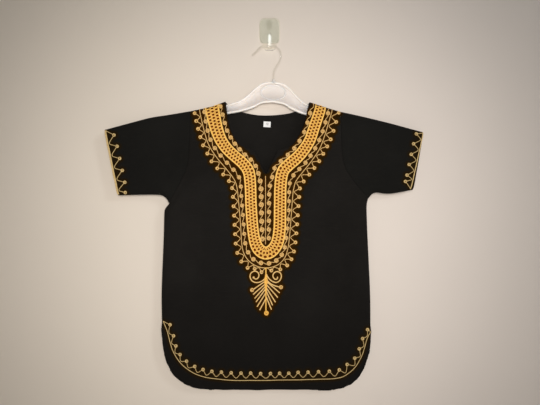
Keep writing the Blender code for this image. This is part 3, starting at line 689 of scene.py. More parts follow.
stitch = {
    "length": 2.5,  # one chain stitch
    "ringsPerStitch": 3,
    "waist": 0.74,  # width where one loop starts in the next
    "groove": 0.5,  # height between the two legs of a loop
    "grooveAtWaist": 0.95,
    "dotPitch": 1.75,  # from one turn of a coiled dot to the next
    "dotWidth": 1.85,
    "dotHeight": 0.9,
    "dotCore": 0.8,  # where its spiral ends
    "dotRim": 0.8,  # the share of a turn before the spiral leads in
    "dotSteps": 20,  # in one turn
    "leastSpiral": 0.6,  # turns
    "pathStep": 0.6,
    "markStep": 1.6,  # between the places kept for marking the cloth
    # a loop's section, as (share of half width, share of height); the middle point is the groove
    "section": (
        (-1, -0.25), (-0.86, 0.62), (-0.42, 1), (0, 1), (0.42, 1), (0.86, 0.62), (1, -0.25)),
}
stitched = {-1: [], 1: []}  # the flat paths on each face


def thread(path, width, height=0.6, face=-1, closed=False):
    # one line to stitch, as a flat (x, z) path
    return path, width, height, face, closed


def sweep(path, width, height, face, closed):
    # rings of chain-stitch section along a path on the cloth, and their map
    flat = resample(path, stitch["pathStep"])
    run = runOf(np.stack([flat[:, 0], surfaceY(flat[:, 0], flat[:, 1], face), flat[:, 1]], 1))
    count = max(int(round(run[-1] * stitch["ringsPerStitch"] / stitch["length"])), 2)
    x, z = (np.interp(np.linspace(0.0, run[-1], count + 1), run, flat[:, k]) for k in (0, 1))
    points, normals = surfaceFrame(x, z, face)
    if closed:
        points, normals = points[:-1], normals[:-1]
        ahead = np.roll(points, -1, 0) - np.roll(points, 1, 0)
    else:
        ahead = np.gradient(points, axis=0)
    ahead /= np.maximum(np.linalg.norm(ahead, axis=1), 1e-9)[:, None]
    across = np.cross(ahead, normals)
    across /= np.maximum(np.linalg.norm(across, axis=1), 1e-9)[:, None]
    atWaist = np.arange(len(points)) % stitch["ringsPerStitch"] == 0
    half = np.where(atWaist, stitch["waist"], 1.0) * width / 2
    a, h = np.array(stitch["section"]).T
    tall = np.tile(h, (len(points), 1))
    tall[:, len(h) // 2] = np.where(atWaist, stitch["grooveAtWaist"], stitch["groove"])
    rings = (points[:, None] + across[:, None] * (half[:, None] * a)[..., None]
             + normals[:, None] * (tall * height)[..., None])
    turns = np.tile(np.arange(len(a)) / len(a), len(points))
    return rings, np.stack([np.repeat(runOf(points), len(a)), turns], 1)


def mapStitches(piece, places):
    corners = np.empty(len(piece.data.loops), int)
    piece.data.loops.foreach_get("vertex_index", corners)
    layer = piece.data.uv_layers.new(name="stitch")
    layer.uv.foreach_set("vector", places[corners].ravel().astype(np.float32))


def stitchPiece(name, lines, material):
    points, faces, maps = [], [], []
    start = 0
    for path, width, height, face, closed in lines:
        stitched[face].append(resample(path, stitch["markStep"]))
        rings, places = sweep(path, width, height, face, closed)
        points.append(rings.reshape(-1, 3))
        faces += tubeFaces(*rings.shape[:2], closed, start)
        maps.append(places)
        start += len(places)
    piece = meshPiece(name, np.vstack(points), faces, material, 70.0, outward=True)
    mapStitches(piece, np.vstack(maps))
    return piece


def coiledDot(centre, radius, turn=0.0, height=stitch["dotHeight"], face=-1):
    # a dot: most of a turn round its rim, then a spiral in to its middle
    outer, inner, rim = radius - stitch["dotPitch"] / 2, stitch["dotCore"], 2 * pi * stitch["dotRim"]
    turns = max((outer - inner) / stitch["dotPitch"], stitch["leastSpiral"]) + stitch["dotRim"]
    angles = np.linspace(0.0, 2 * pi * turns, int(stitch["dotSteps"] * turns))
    spread = outer - (outer - inner) * np.clip((angles - rim) / (angles[-1] - rim), 0.0, 1.0)
    across, up = spread * np.cos(turn + angles), spread * np.sin(turn + angles)
    return thread(np.stack([centre[0] + across, centre[1] + up], 1), stitch["dotWidth"], height, face)


shoulderLine = np.vstack([edgeCurve("shoulder", -1), edgeCurve("shoulder", 1)])
shoulderLine = shoulderLine[np.argsort(shoulderLine[:, 0])]


def belowShoulder(path, margin=0.15):
    # which points of a flat path lie on the front, this far below the shoulder seam
    path = np.atleast_2d(path)
    return path[:, 1] < np.interp(path[:, 0], *shoulderLine.T) - margin


def endedAtShoulder(path):
    path = resample(path, 0.5)
    return path[belowShoulder(path)]


def placesAlong(first, last, spacing):
    # places along a line, with a gap to the next one from a table by run
    places = [first]
    while places[-1] < last:
        places.append(places[-1] + float(np.interp(places[-1], *np.array(spacing).T)))
    return np.array(places[:-1])


# the neck band: rows of small rings between two lines
band = {
    # its middle line, in the columns of the cut, from the bottom up to the shoulder
    "middle": (
        (0, -417, 0, -417), (11.5, -411.8, 11.5, -411.8), (19.5, -398, 20.5, -398),
        (24.2, -372, 25, -372), (27.3, -332, 25.8, -332), (28.8, -290, 26.6, -292),
        (32, -267, 30.8, -267.7), (42, -252.5, 40.5, -256), (55.7, -240.4, 57, -241.6),
        (70.4, -226.7, 70.7, -225.7), (82, -210.8, 80.8, -208.5), (89.8, -191.9, 87.6, -188.5),
        (94.8, -172.9, 94.4, -168.5), (99, -152, 99.6, -152), (102.2, -134, 102.8, -134)),
    # its half width along it, from the left shoulder to the right one: (share of its length, half width)
    "spread": (
        (0, 14.2), (0.05, 13.2), (0.1, 12), (0.14, 10.8), (0.2, 10.5), (0.24, 11.2), (0.3, 10.7),
        (0.44, 10.7), (0.5, 12.4), (0.56, 11.7), (0.7, 11.5), (0.79, 11.3), (0.86, 10.6), (1, 10.2)),
    "halfWidth": 10.6,  # for which the sizes below hold
    "pitch": 5.9,  # from hole to hole
    "rowGap": 5.9,
    "hole": 2.06,
    "holeSides": 16,
    "ringWidth": 1.35,
    "ringHeight": 0.95,
    "ringOverlap": 0.15,
    "matHeight": 0.35,
    "matFoot": 0.04,
    "matReach": 9.7,  # how far out its outer rows reach, under the border lines
    "matMargin": 1.6,  # least distance of a cell's middle below the shoulder seam
    "matEdge": 0.1,  # and of any of its points
    "matTurns": 0.2,  # twists of its thread per millimetre across
    "ringSteps": 18,
    "borderWidth": 2.3,
    "borderHeight": 0.95,
}
bandMiddle = roundCurve(band["middle"], 16)
bandLength = runOf(bandMiddle)[-1]
holes = [((k + 0.5 + (0.5 if row == 0 else 0.0)) * band["pitch"], row * band["rowGap"])
         for row in (-1, 0, 1) for k in range(int(bandLength / band["pitch"]))]  # (distance along, offset)


def onStrip(distances, offsets):
    # flat places on the band, whose offsets grow with its width
    spread = np.interp(np.asarray(distances) / bandLength, *np.array(band["spread"]).T) / band["halfWidth"]
    return offBy(bandMiddle, distances, np.asarray(offsets) * spread)


def buildBandGround(name, material):
    # the closed ground under the rings, with a round hole in each cell; its darker gold is painted shade
    # between the strands
    count = band["holeSides"]
    angles = 2 * pi * np.arange(count) / count
    halfPitch, halfRow = band["pitch"] / 2, band["rowGap"] / 2
    unit = np.stack([np.cos(angles), np.sin(angles)], 1)
    circle = unit * band["hole"]
    # the same count of points round a square: its corners, middles and quarters
    square = np.round(2 * unit / np.abs(unit).max(1)[:, None]) / 2
    flat, faces = [], []
    for distance, offset in holes:
        if not halfPitch < distance < bandLength - halfPitch:
            continue
        if not belowShoulder(onStrip(np.array([distance]), np.array([offset])), band["matMargin"])[0]:
            continue
        edge = square * [halfPitch, halfRow]
        if offset != 0.0:
            outerSide = np.sign(edge[:, 1]) == np.sign(offset)
            edge[outerSide, 1] *= (band["matReach"] - band["rowGap"]) / halfRow
        faces.append(gridFaces(3, count, closed=True, start=count * len(flat)))
        flat += [[distance, offset] + loop for loop in (edge, (edge + circle) / 2, circle)]
    flat, faces = weld(np.vstack(flat), np.vstack(faces))
    x, z = onStrip(*flat.T).T
    highest = np.interp(x, *shoulderLine.T) - band["matEdge"]
    points, normals = surfaceFrame(x, np.minimum(z, highest), -1)
    front, back = (points + normals * band[level] for level in ("matHeight", "matFoot"))
    piece = slab(name, front, back, faces, material)
    mapStitches(piece, np.tile(flat * [1.0, band["matTurns"]], (2, 1)))
    return piece


def bandRings():
    lines = []
    radius = band["hole"] + band["ringWidth"] / 2 - band["ringOverlap"]
    angles = np.linspace(0.0, 2 * pi, band["ringSteps"] + 1)
    for distance, offset in holes:
        ring = onStrip(distance + radius * np.cos(angles), offset + radius * np.sin(angles))
        if belowShoulder(resample(ring, 0.5)).all():
            lines.append(thread(ring, band["ringWidth"], band["ringHeight"], closed=True))
    return lines


def bandBorders():
    offset = band["halfWidth"] - band["borderWidth"] / 2
    run = np.arange(0.0, bandLength, 1.0)
    return [thread(endedAtShoulder(onStrip(run, np.full(len(run), side * offset))), band["borderWidth"],
                   band["borderHeight"]) for side in (-1, 1)]


bandMat = buildBandGround("neckBandGround", shadedGroundGold)
neckBand = stitchPiece("neckBandRings", bandRings(), bandGold)
neckBorders = stitchPiece("neckBandBorders", bandBorders(), bandGold)
print("neck band stitched:", len(neckBand.data.polygons), "faces")

# chains of coiled dots on both sides of the band
dots = {
    "inner": (  # down both sides of the neck slit
        (6.4, -393, 5.2, -391), (8.4, -345, 5.4, -345), (9, -300, 6.4, -300),
        (12, -279, 10.6, -281), (17.8, -259.7, 14.6, -263.2), (26.6, -246.7, 24.2, -251.1),
        (38.3, -236.4, 37.7, -239), (56.7, -216.9, 54.7, -221.2), (71, -192.7, 70.6, -194.2),
        (79.1, -164.9, 80.6, -162), (83.6, -147.8, 85.8, -147), (86.4, -136, 89.6, -136)),
    # from dot to dot, by the run from the lower end: left, right
    "innerSpacing": (
        ((0, 17.3), (8, 17.3), (18, 15.4), (45, 15.2), (64, 14.7), (100, 14.3), (150, 14.6), (170, 13.4),
         (205, 13.9), (235, 15.8), (400, 15.6)),
        ((0, 16), (98, 16.2), (130, 17.6), (184, 16.6), (200, 18.3), (400, 18))),
    "innerFirst": (2, 1.5),
    # (height, radius)
    "innerRadius": (
        ((-400, 4.8), (-290, 4.8), (-262, 4.2), (-150, 4)),
        ((-400, 4.2), (-150, 4.2))),
    "outer": (
        (0, -436.3, 0, -436.3), (12, -434.3, 12, -434.3), (24, -427.6, 24, -426.5),
        (33.8, -413.5, 33, -411.5), (38.8, -394, 37.4, -388), (41.8, -355, 41.4, -350),
        (45.4, -310, 42.4, -305), (46.8, -288, 44.2, -287), (52.5, -272.5, 53, -270.5),
        (70.7, -251.9, 71.2, -252.5), (92.4, -226.4, 89.5, -226), (103.6, -204, 100.4, -203),
        (109.5, -180, 108.1, -179.9), (113, -157, 114.6, -157), (115, -136, 118, -136)),
    # from dot to dot, by the run from the left shoulder
    "outerSpacing": (
        (0, 17.4), (290, 17.4), (300, 16.2), (345, 14.6), (380, 14.8), (395, 18.4), (420, 16.9),
        (560, 15.8), (600, 17.2), (900, 17)),
    "outerFirst": 22.1,
    "outerRadius": ((-440, 4.4), (-400, 4.1), (-380, 3.8), (-300, 3.9), (-270, 4.1), (-150, 4.1)),
    "innerWave": 2,  # sideways swing of the line between two dots
    "outerWave": 1.3,
    "lineWidth": 1.4,
    "turn": 1.3,  # from one dot's start to the next one's
    "steps": 24,  # along the line from dot to dot
    "endGap": 0.3,
    # the single line down the middle: beside the centre line, from, to, width and height
    "slitLine": (-0.9, -275.5, -401, 1.3, 0.55),
}


def dotChain(curve, spacing, radii, first, wave):
    # coiled dots along a curve, joined by a line that swings across
    length = runOf(curve)[-1]
    lines = []
    places = placesAlong(first, length, spacing)
    for k, centre in enumerate(along(curve, places)):
        radius = float(np.interp(centre[1], *np.array(radii).T))
        if belowShoulder(centre, radius)[0]:
            lines.append(coiledDot(centre, radius, turn=dots["turn"] * k))
    ends = np.concatenate([[first - spacing[0][1]], places, [2 * places[-1] - places[-2]]])
    share = np.linspace(0.0, 1.0, dots["steps"] + 1)
    for distance, following in zip(ends, ends[1:]):
        run = distance + share * (following - distance)
        inside = (run > dots["endGap"]) & (run < length - dots["endGap"])
        if inside.sum() < 4:
            continue
        path = endedAtShoulder(offBy(curve, run[inside], wave * np.sin(2 * pi * share[inside])))
        if len(path) > 4:
            lines.append(thread(path, dots["lineWidth"]))
    return lines


chainLines = []
for hand, side in enumerate((-1, 1)):
    chainLines += dotChain(sideCurve(dots["inner"], side), dots["innerSpacing"][hand],
                           dots["innerRadius"][hand], dots["innerFirst"][hand], dots["innerWave"])
chainLines += dotChain(roundCurve(dots["outer"]), dots["outerSpacing"], dots["outerRadius"],
                       dots["outerFirst"], dots["outerWave"])
aside, slitTop, slitFoot, slitWidth, slitHeight = dots["slitLine"]
chainLines.append(thread(np.array([(centreX + aside, slitTop), (centreX + aside, slitFoot)]), slitWidth,
                         slitHeight))
neckDots = stitchPiece("neckDotChains", chainLines, lineGold)
print("dot chains stitched:", len(neckDots.data.polygons), "faces")

picotDot = {"turn": 0.9, "height": 0.85}  # how far each dot is turned from the last, and its height


def roundedCorner(first, corner, last, reach):
    # a line to a corner and on, with the corner rounded
    start, end = corner + (first - corner) * reach, corner + (last - corner) * reach
    t = np.linspace(0.0, 1.0, 7)[:, None]
    return np.vstack([first, start * (1 - t) ** 2 + corner * 2 * t * (1 - t) + end * t ** 2, last])


def insideDot(centre, towards, radius):
    # where a thread from there ends in a dot
    depth = 0.55  # a share of the radius
    return centre + (towards - centre) * radius * depth / np.linalg.norm(towards - centre)


def picotRow(curve, border, hand, face, side, places):
    # dots beside a line, at places along it from the lower end up, joined by thread that
    # comes back to the line between them
    lines, radius = [], border["radius"]
    reaches, nodes, lifts = (np.interp(places, *np.array(border[part][hand]).T)
                             for part in ("reaches", "node", "lift"))
    centres = offBy(curve, places, reaches * side)
    fits = belowShoulder(centres, radius)
    feet = offBy(curve, places[1:] * (1 - nodes[:-1]) + places[:-1] * nodes[:-1], lifts[:-1] * side)
    for k, centre in enumerate(centres):
        if not fits[k]:
            continue
        lines.append(coiledDot(centre, radius, picotDot["turn"] * k, picotDot["height"], face))
        if k + 1 < len(places) and fits[k + 1]:
            path = roundedCorner(insideDot(centres[k + 1], feet[k], radius), feet[k],
                                 insideDot(centre, feet[k], radius), border["round"])
            lines.append(thread(path, border["lineWidth"], face=face))
    return lines


def lineEnd(curve, border, hand, face, side, place, foot):
    # the thread to a dot from a place on the line, near the line's end
    reach = np.interp(place, *np.array(border["reaches"][hand]).T)
    lift = 0.4  # off the middle of the line
    centre, start = offBy(curve, np.array([place, foot]), np.array([reach, lift]) * side)
    path = np.array([start, insideDot(centre, start, border["radius"])])
    return thread(path, border["lineWidth"], face=face)


# the outer edge of the neck's stitching; its tables, and the hem's, have a part for the left and the right
picot = {
    "line": (
        (0, -444.2, 0, -444.2), (10, -443.2, 12, -442.6), (22, -438.6, 24.5, -436.6),
        (33, -429.8, 34.5, -425.4), (40.5, -417.5, 39.8, -410), (44.4, -400, 42.8, -390),
        (47.4, -355, 46.2, -350), (51, -315, 49, -312), (53.4, -296, 51, -298),
        (58.5, -281.5, 55.5, -284), (72.3, -263.2, 67.5, -268), (89.9, -242.1, 83, -248.6),
        (103.6, -221, 98, -226), (111, -201, 107.4, -202), (117.1, -177.2, 115, -177),
        (122, -155.3, 121.2, -156), (126, -138, 125, -138)),
    # by the run from the bottom: from dot to dot, and from the line to the dots
    "first": (7.2, 9),
    "spacing": (
        ((0, 13.2), (18, 9.8), (31, 13.4), (58, 15.2), (74, 17.2), (185, 17.4), (205, 16.2), (235, 15.4),
         (300, 14.8), (400, 14.8)),
        ((0, 13.4), (9, 13.4), (22, 11.2), (34, 10.2), (44, 12.6), (60, 16.3), (165, 17.2), (175, 20.5),
         (192, 16.6), (208, 15.2), (238, 14.4), (262, 13.3), (279, 15.6), (300, 17.5), (400, 17))),
    "reaches": (
        ((0, 8.6), (8, 8.5), (19.5, 5.8), (30, 11.6), (110, 11), (172, 9), (190, 9.6), (225, 11.8),
         (240, 12), (256, 10), (300, 10), (600, 8.8)),
        ((0, 5.8), (9, 5.8), (22, 9.6), (34, 12.1), (155, 12.1), (172, 10.9), (200, 12.6), (240, 11.6),
         (256, 9.9), (282, 12.8), (600, 13.2))),
    # where the thread comes back to the line: a share of the way down to the last dot, and a height over it
    "node": (((0, 0.55), (60, 0.5), (175, 0.5), (200, 0.63), (600, 0.63)),) * 2,
    "lift": (((0, 0.6), (600, 0.6)),) * 2,
    "radius": 3.55,
    "round": 0.35,
    "lineWidth": 1.4,
    "edge": (1.6, 0.65),  # width and height of the line itself
    "tie": 1.5,  # from the line's end to the thread that ties the last dot to it
}
picotLines = [thread(endedAtShoulder(roundCurve(picot["line"])), *picot["edge"])]
for hand, side in enumerate((-1, 1)):
    curve = sideCurve(picot["line"], side)
    places = placesAlong(picot["first"][hand], runOf(curve)[-1], picot["spacing"][hand])
    picotLines += picotRow(curve, picot, hand, -1, -side, places)
    picotLines.append(lineEnd(curve, picot, hand, -1, -side, places[0], picot["tie"]))
neckPicots = stitchPiece("neckPicotEdge", picotLines, lineGold)
print("picot edge stitched:", len(neckPicots.data.polygons), "faces")

# the leaf below the band
leaf = {
    "centreX": -6.8,
    "stemTop": -444,
    "stemFoot": -523,
    # each side's scroll: (distance out, height)
    "scrollLeft": (
        (0.8, -461), (3.6, -465.6), (9.8, -469.8), (18.4, -471.2), (25.8, -467.8), (29.2, -460.6),
        (27.2, -453.6), (20.6, -450.2), (14.6, -452.8), (12.8, -458.6), (15.6, -463.8), (19.6, -464.6),
        (23.2, -461.8)),
    "scrollRight": (
        (0.8, -455.6), (3.2, -460.4), (7.2, -465.4), (12.6, -469.4), (19.2, -471.2), (25.6, -467.4),
        (28.4, -459.8), (26.2, -453.4), (20.4, -451), (14.4, -454.2), (13, -460), (16.4, -465),
        (20.6, -464.4), (21.6, -460.6)),
    "scrollEnd": (-22.6, -461.9, 2.2),  # a knot at the left scroll's end, and its radius
    # fronds: (height at the stem, tip's distance out, height) on each side
    "frondsLeft": (
        (-468.4, 22.6, -483.6), (-473.4, 23.5, -493.3), (-478.2, 20.6, -500.4), (-483, 18, -507),
        (-491, 16.2, -516), (-502, 11.4, -522)),
    "frondsRight": (
        (-465.2, 25, -479.6), (-469.2, 25.4, -490.4), (-474.8, 21.8, -498.8), (-480.8, 17.5, -507.4),
        (-487, 12.2, -513), (-497.8, 10.2, -520.9)),
    "frondBend": ((0.34, 0.31), (0.66, 0.64)),  # shares of its width and drop
    "firstBend": ((0.27, 0.46), (0.6, 0.80)),
    "tipDrop": (1.4, 0.3),  # of the dot on the first frond: left, right
    # strands that swell the upper stem: (distance out, top, foot)
    "swells": ((1.7, -452, -496), (2.6, -458, -482)),
    "swellBend": ((1, 0.3), (0.8, 0.6)),  # shares of the distance out and of the way down
    "swellSize": (1.88, 1.05),  # width and height
    "stemSize": (2.7025, 1.1),
    "dotRadius": 3.9,
    "dotOut": 2.8,  # from a frond's tip
    "footDot": (1, -4.6, 4.5),  # beside and below the stem's foot, and its radius
    "rootOut": 0.8,
    "lineWidth": 2.35,
    "lineHeight": 0.8,
}


def leafLines():
    x0, size = leaf["centreX"], (leaf["lineWidth"], leaf["lineHeight"])
    stem = [thread([(x0, leaf["stemTop"]), (x0, leaf["stemFoot"])], *leaf["stemSize"])]
    lines = []
    for side, hand in ((-1, "Left"), (1, "Right")):
        for swell, top, foot in leaf["swells"]:
            bends = [(x0 + side * swell * out, top * (1.0 - down) + foot * down)
                     for out, down in leaf["swellBend"]]
            stem.append(thread(smoothCurve([(x0, top), *bends, (x0, foot)], 6), *leaf["swellSize"]))
        scroll = [(x0 + side * u, z) for u, z in leaf["scroll" + hand]]
        lines.append(thread(smoothCurve(scroll, 8), *size))
        for k, (root, tipOut, tipZ) in enumerate(leaf["fronds" + hand]):
            bends = leaf["firstBend" if k == 0 and side > 0 else "frondBend"] + ((1.0, 1.0),)
            curve = [(x0 + side * tipOut * out, root + (tipZ - root) * down) for out, down in bends]
            lines.append(thread(smoothCurve([(x0 + side * leaf["rootOut"], root), *curve], 6), *size))
            if k == 0:
                tip = (x0 + side * (tipOut + leaf["dotOut"]), tipZ - leaf["tipDrop"][(side + 1) // 2])
                lines.append(coiledDot(tip, leaf["dotRadius"]))
    endX, endZ, endRadius = leaf["scrollEnd"]
    lines.append(coiledDot((x0 + endX, endZ), endRadius))
    footX, footZ, footRadius = leaf["footDot"]
    stem.append(coiledDot((x0 + footX, leaf["stemFoot"] + footZ), footRadius))
    return stem, lines


leafStem, leafFronds = leafLines()
neckLeafStem = stitchPiece("neckLeafStem", leafStem, stemGold)
neckLeaf = stitchPiece("neckLeaf", leafFronds, lineGold)

# the hem border, on the front and the back
hemBorder = {
    "line": (
        (0, -652.4, 0, -652.4), (50, -652.6, 55, -651.4), (99.5, -649, 112, -649.9),
        (128.6, -641.2, 138.9, -646.6), (145.4, -631, 153.3, -638.8), (160, -617.5, 165.7, -626.6),
        (171.2, -599.6, 176.2, -608), (177.3, -580.6, 182, -591), (182.6, -560.3, 187, -574),
        (190, -543, 193.4, -562)),
    # by the run from the middle: from dot to dot, and from the line to the dots
    "first": (9.7, 8.4),
    "spacing": (
        ((0, 18.4), (100, 18.6), (125, 19.8), (400, 19.8)),
        ((0, 16.8), (42, 17.2), (80, 19.6), (120, 21.6), (140, 25), (160, 22), (200, 20.2), (230, 18.4),
         (400, 18.4))),
    "reaches": (
        ((0, 12.4), (30, 13.7), (80, 14), (120, 12.5), (150, 11.4), (182, 8.8), (205, 8.4), (222, 9.4),
         (400, 8.6)),
        ((0, 12.4), (45, 12.6), (60, 14), (165, 14.2), (188, 9.4), (228, 8), (246, 6.8))),
    "node": (((0, 0.5), (100, 0.52), (150, 0.58), (200, 0.64), (400, 0.66)),) * 2,
    "lift": (((0, 2.4), (110, 2.4), (160, 1), (400, 0.6)),) * 2,
    "radius": 3.35,
    "lineWidth": 1.25,
    "round": 0.42,
    "edge": (1.45, 0.65),
    "trim": 0.2,  # off both ends of the line
    "pastEnd": 1.5,  # how far past the line's end a dot may stand
    "tie": 0.5,
    "middleReach": 1.8,  # the middle thread starts this far short of the first dots
    "middleRound": 0.45,
}


def hemLines(face):
    whole = roundCurve(hemBorder["line"])
    path = along(whole, np.arange(hemBorder["trim"], runOf(whole)[-1] - hemBorder["trim"], 0.5))
    lines = [thread(path, *hemBorder["edge"], face=face)]
    middles = []
    for hand, side in enumerate((-1, 1)):
        curve = sideCurve(hemBorder["line"], side)
        length = runOf(curve)[-1]
        last = length + hemBorder["pastEnd"]
        places = placesAlong(hemBorder["first"][hand], last, hemBorder["spacing"][hand])
        lines += picotRow(curve, hemBorder, hand, face, side, places)
        lines.append(lineEnd(curve, hemBorder, hand, face, side, places[-1], length - hemBorder["tie"]))
        reach = hemBorder["reaches"][hand][0][1] - hemBorder["middleReach"]
        middles.append(offBy(curve, places[:1], np.array([side * reach]))[0])
    foot = np.array([centreX, hemBorder["line"][0][1] + hemBorder["lift"][0][0][1]])
    path = roundedCorner(middles[0], foot, middles[1], hemBorder["middleRound"])
    lines.append(thread(path, hemBorder["lineWidth"], face=face))
    return lines


hemFront = stitchPiece("hemBorderFront", hemLines(-1), hemGold)
hemBack = stitchPiece("hemBorderBack", hemLines(1), hemGold)

# the cuff borders, round each cuff: left, right
cuffBorder = {
    # from the underarm end up: (distance out, height)
    "line": (
        ((272.6, -309), (284.6, -250), (296.6, -190.6)),
        ((266.6, -299.4), (278.2, -248), (289.8, -194.8))),
    # the dots' places along the line, the lowest ones closer together
    "places": ((0.6, 19.2, 41.6, 64, 87, 108.4), (11.5, 23.6, 43.6, 62.8, 82.6, 101.4)),
    "reaches": (
        ((0, 13.6), (20, 17.2), (60, 16.6), (90, 16.2), (112, 14.4)),
        ((0, 13.7), (20, 12.7), (80, 13.6), (101, 12.2))),
    "node": (((0, 0.66), (200, 0.66)), ((0, 0.46), (200, 0.46))),
    "lift": (((0, 1.3), (200, 1.3)), ((0, 0.5), (200, 0.5))),
    "radius": 3.3,
    "round": 0.35,
    "lineWidth": 1.3,
    # the lines' offsets from the edge, and their widths
    "lines": (((-0.9, 1.9), (0.8, 2)), ((0, 2),)),
    "lineHeight": 0.65,
    "trim": 0.3,
    "tie": 1,
}


def cuffLines(side):
    hand = (side + 1) // 2
    curve = smoothCurve([(centreX + side * u, z) for u, z in cuffBorder["line"][hand]])
    length = runOf(curve)[-1]
    run = np.arange(cuffBorder["trim"], length - cuffBorder["trim"], 0.5)
    places, tie = np.array(cuffBorder["places"][hand]), cuffBorder["tie"]
    lines = []
    for face in (-1, 1):
        for offset, width in cuffBorder["lines"][hand]:
            path = offBy(curve, run, np.full(len(run), offset * side))
            lines.append(thread(path, width, cuffBorder["lineHeight"], face))
        lines += picotRow(curve, cuffBorder, hand, face, side, places)
        lines.append(lineEnd(curve, cuffBorder, hand, face, side, places[-1], length - tie))
        if side > 0:  # the lowest dot is tied to the line's end too
            lines.append(lineEnd(curve, cuffBorder, hand, face, side, places[0], tie))
    return lines


cuffLeft = stitchPiece("cuffBorderLeft", cuffLines(-1), hemGold)
cuffRight = stitchPiece("cuffBorderRight", cuffLines(1), hemGold)
print("leaf, hem and cuff borders stitched")

beside = {
    "near": 1.6,  # full strength this near a stitch
    "far": 7,
    "bandShare": 1,
    "neckShare": 0.667,
    "edgeShare": 0.333,
    "neckFoot": -540,
    "neckReach": 150,  # from the middle
}


def nearestGap(spots):
    # a function that tells how far a place is from the nearest of some spots
    tree = KDTree(len(spots))
    for k, (x, z) in enumerate(spots):
        tree.insert((x, z, 0.0), k)
    tree.balance()
    return lambda place: tree.find((place[0], place[1], 0.0))[2]


def markBeside(piece, faces):
    # how much painted warm light from the stitches near it each point of the cloth takes on
    places = vertexTable(piece.data)[:, [0, 2]] / mm
    normals = vertexTable(piece.data, "normal")
    amount = np.zeros(len(places))
    bandGap = nearestGap(bandMiddle[::2])
    for face in faces:
        gapTo = nearestGap(np.vstack(stitched[face]))
        for k in np.flatnonzero(normals[:, 1] * face > 0.0):
            near = (beside["far"] - gapTo(places[k])) / (beside["far"] - beside["near"])
            x, z = places[k]
            atNeck = z > beside["neckFoot"] and abs(x - centreX) < beside["neckReach"]
            share = beside["neckShare" if atNeck else "edgeShare"]
            if face < 0 and atNeck and bandGap(places[k]) < band["halfWidth"]:
                share = beside["bandShare"]
            amount[k] = share * min(max(near, 0.0), 1.0)
    markPoints(piece, "besideStitches", amount)


for piece, faces in ((frontPanel, (-1,)), (backPanel, (1,)), (sleeveLeft, (-1, 1)), (sleeveRight, (-1, 1))):
    markBeside(piece, faces)
print("cloth beside the stitches marked")

hanger = {
    "middle": (7.5, -14, -100),
    "tilt": 2.6,  # degrees; the right arm hangs lower
    # edges: (distance from the middle, drop below the top)
    "top": (
        (0, 0), (18.5, 2.8), (31.5, 11.5), (46.4, 26.2), (61.2, 37.7), (87.2, 47.3), (114.5, 54),
        (144.7, 61.7)),
    "bottom": (
        (0, 37.7), (20.4, 41), (33.4, 48.6), (46.4, 54), (59.4, 58.1), (86.6, 64.4), (115, 70.1),
        (144.7, 76)),
    # half the section of a rim, from its outer face round to the web: (depth, distance from the edge)
    "rim": (
        (0.9, 0), (3.1, 0.03), (3.55, 0.15), (3.8, 0.4), (3.9, 0.75), (3.9, 1.6), (3.88, 2.5), (3.7, 2.8),
        (3.2, 3), (1.8, 3.1), (1.3, 3.3), (1, 3.8)),
    "stations": 96,
    "endWall": 2.5,
    "endDepth": (3, 3.6),  # half depths of the closed ends
    "webHalf": 1,
    "endStep": 0.4,  # over which a closed end widens, and narrows to the web
    # the oval: half width, half height and how far its middle lies below the top
    "oval": (24, 15, 20.2),
    "ovalSection": (
        (0, -1), (0.1, -1.7), (0.4, -1.95), (1.2, -2), (2, -1.95), (2.3, -1.7), (2.4, -1), (2.4, 0),
        (0, 0)),
    "collar": ((4.2, -3), (3.9, -0.6), (3.45, 0.6), (3.1, 2.4), (2.9, 3.6), (2.5, 4)),
    # painted shade on the arms, greyer towards their ends where they go into the shirt: (middle, begins this
    # far from it, full at this)
    "armShade": (-4, 50, 80),
    "rimArmShade": 0.25,  # a rim's share of the web's
}


def hangerPoint(u, drop, y):
    turn = radians(hanger["tilt"])
    x0, y0, z0 = hanger["middle"]
    return (x0 + u * cos(turn) - drop * sin(turn), y0 + y, z0 - u * sin(turn) - drop * cos(turn))


def hangerRing(u, webHalf, topCurve, bottomCurve):
    distance = abs(u)
    top, ahead, behind = np.interp([distance, distance + 0.5, abs(distance - 0.5)], *topCurve.T)
    bottom = np.interp(distance, *bottomCurve.T)
    lean = sqrt(1.0 + (ahead - behind) ** 2)
    half = [(max(y, webHalf), top + inset * lean) for y, inset in hanger["rim"]]
    half[0] = (hanger["rim"][0][0], top)
    half += [(y, bottom - (drop - top)) for y, drop in half[::-1]]
    return [hangerPoint(u, drop, y) for y, drop in half + [(-y, drop) for y, drop in half[::-1]]]


def circleAngles(count):
    return 2 * pi * np.arange(count) / count


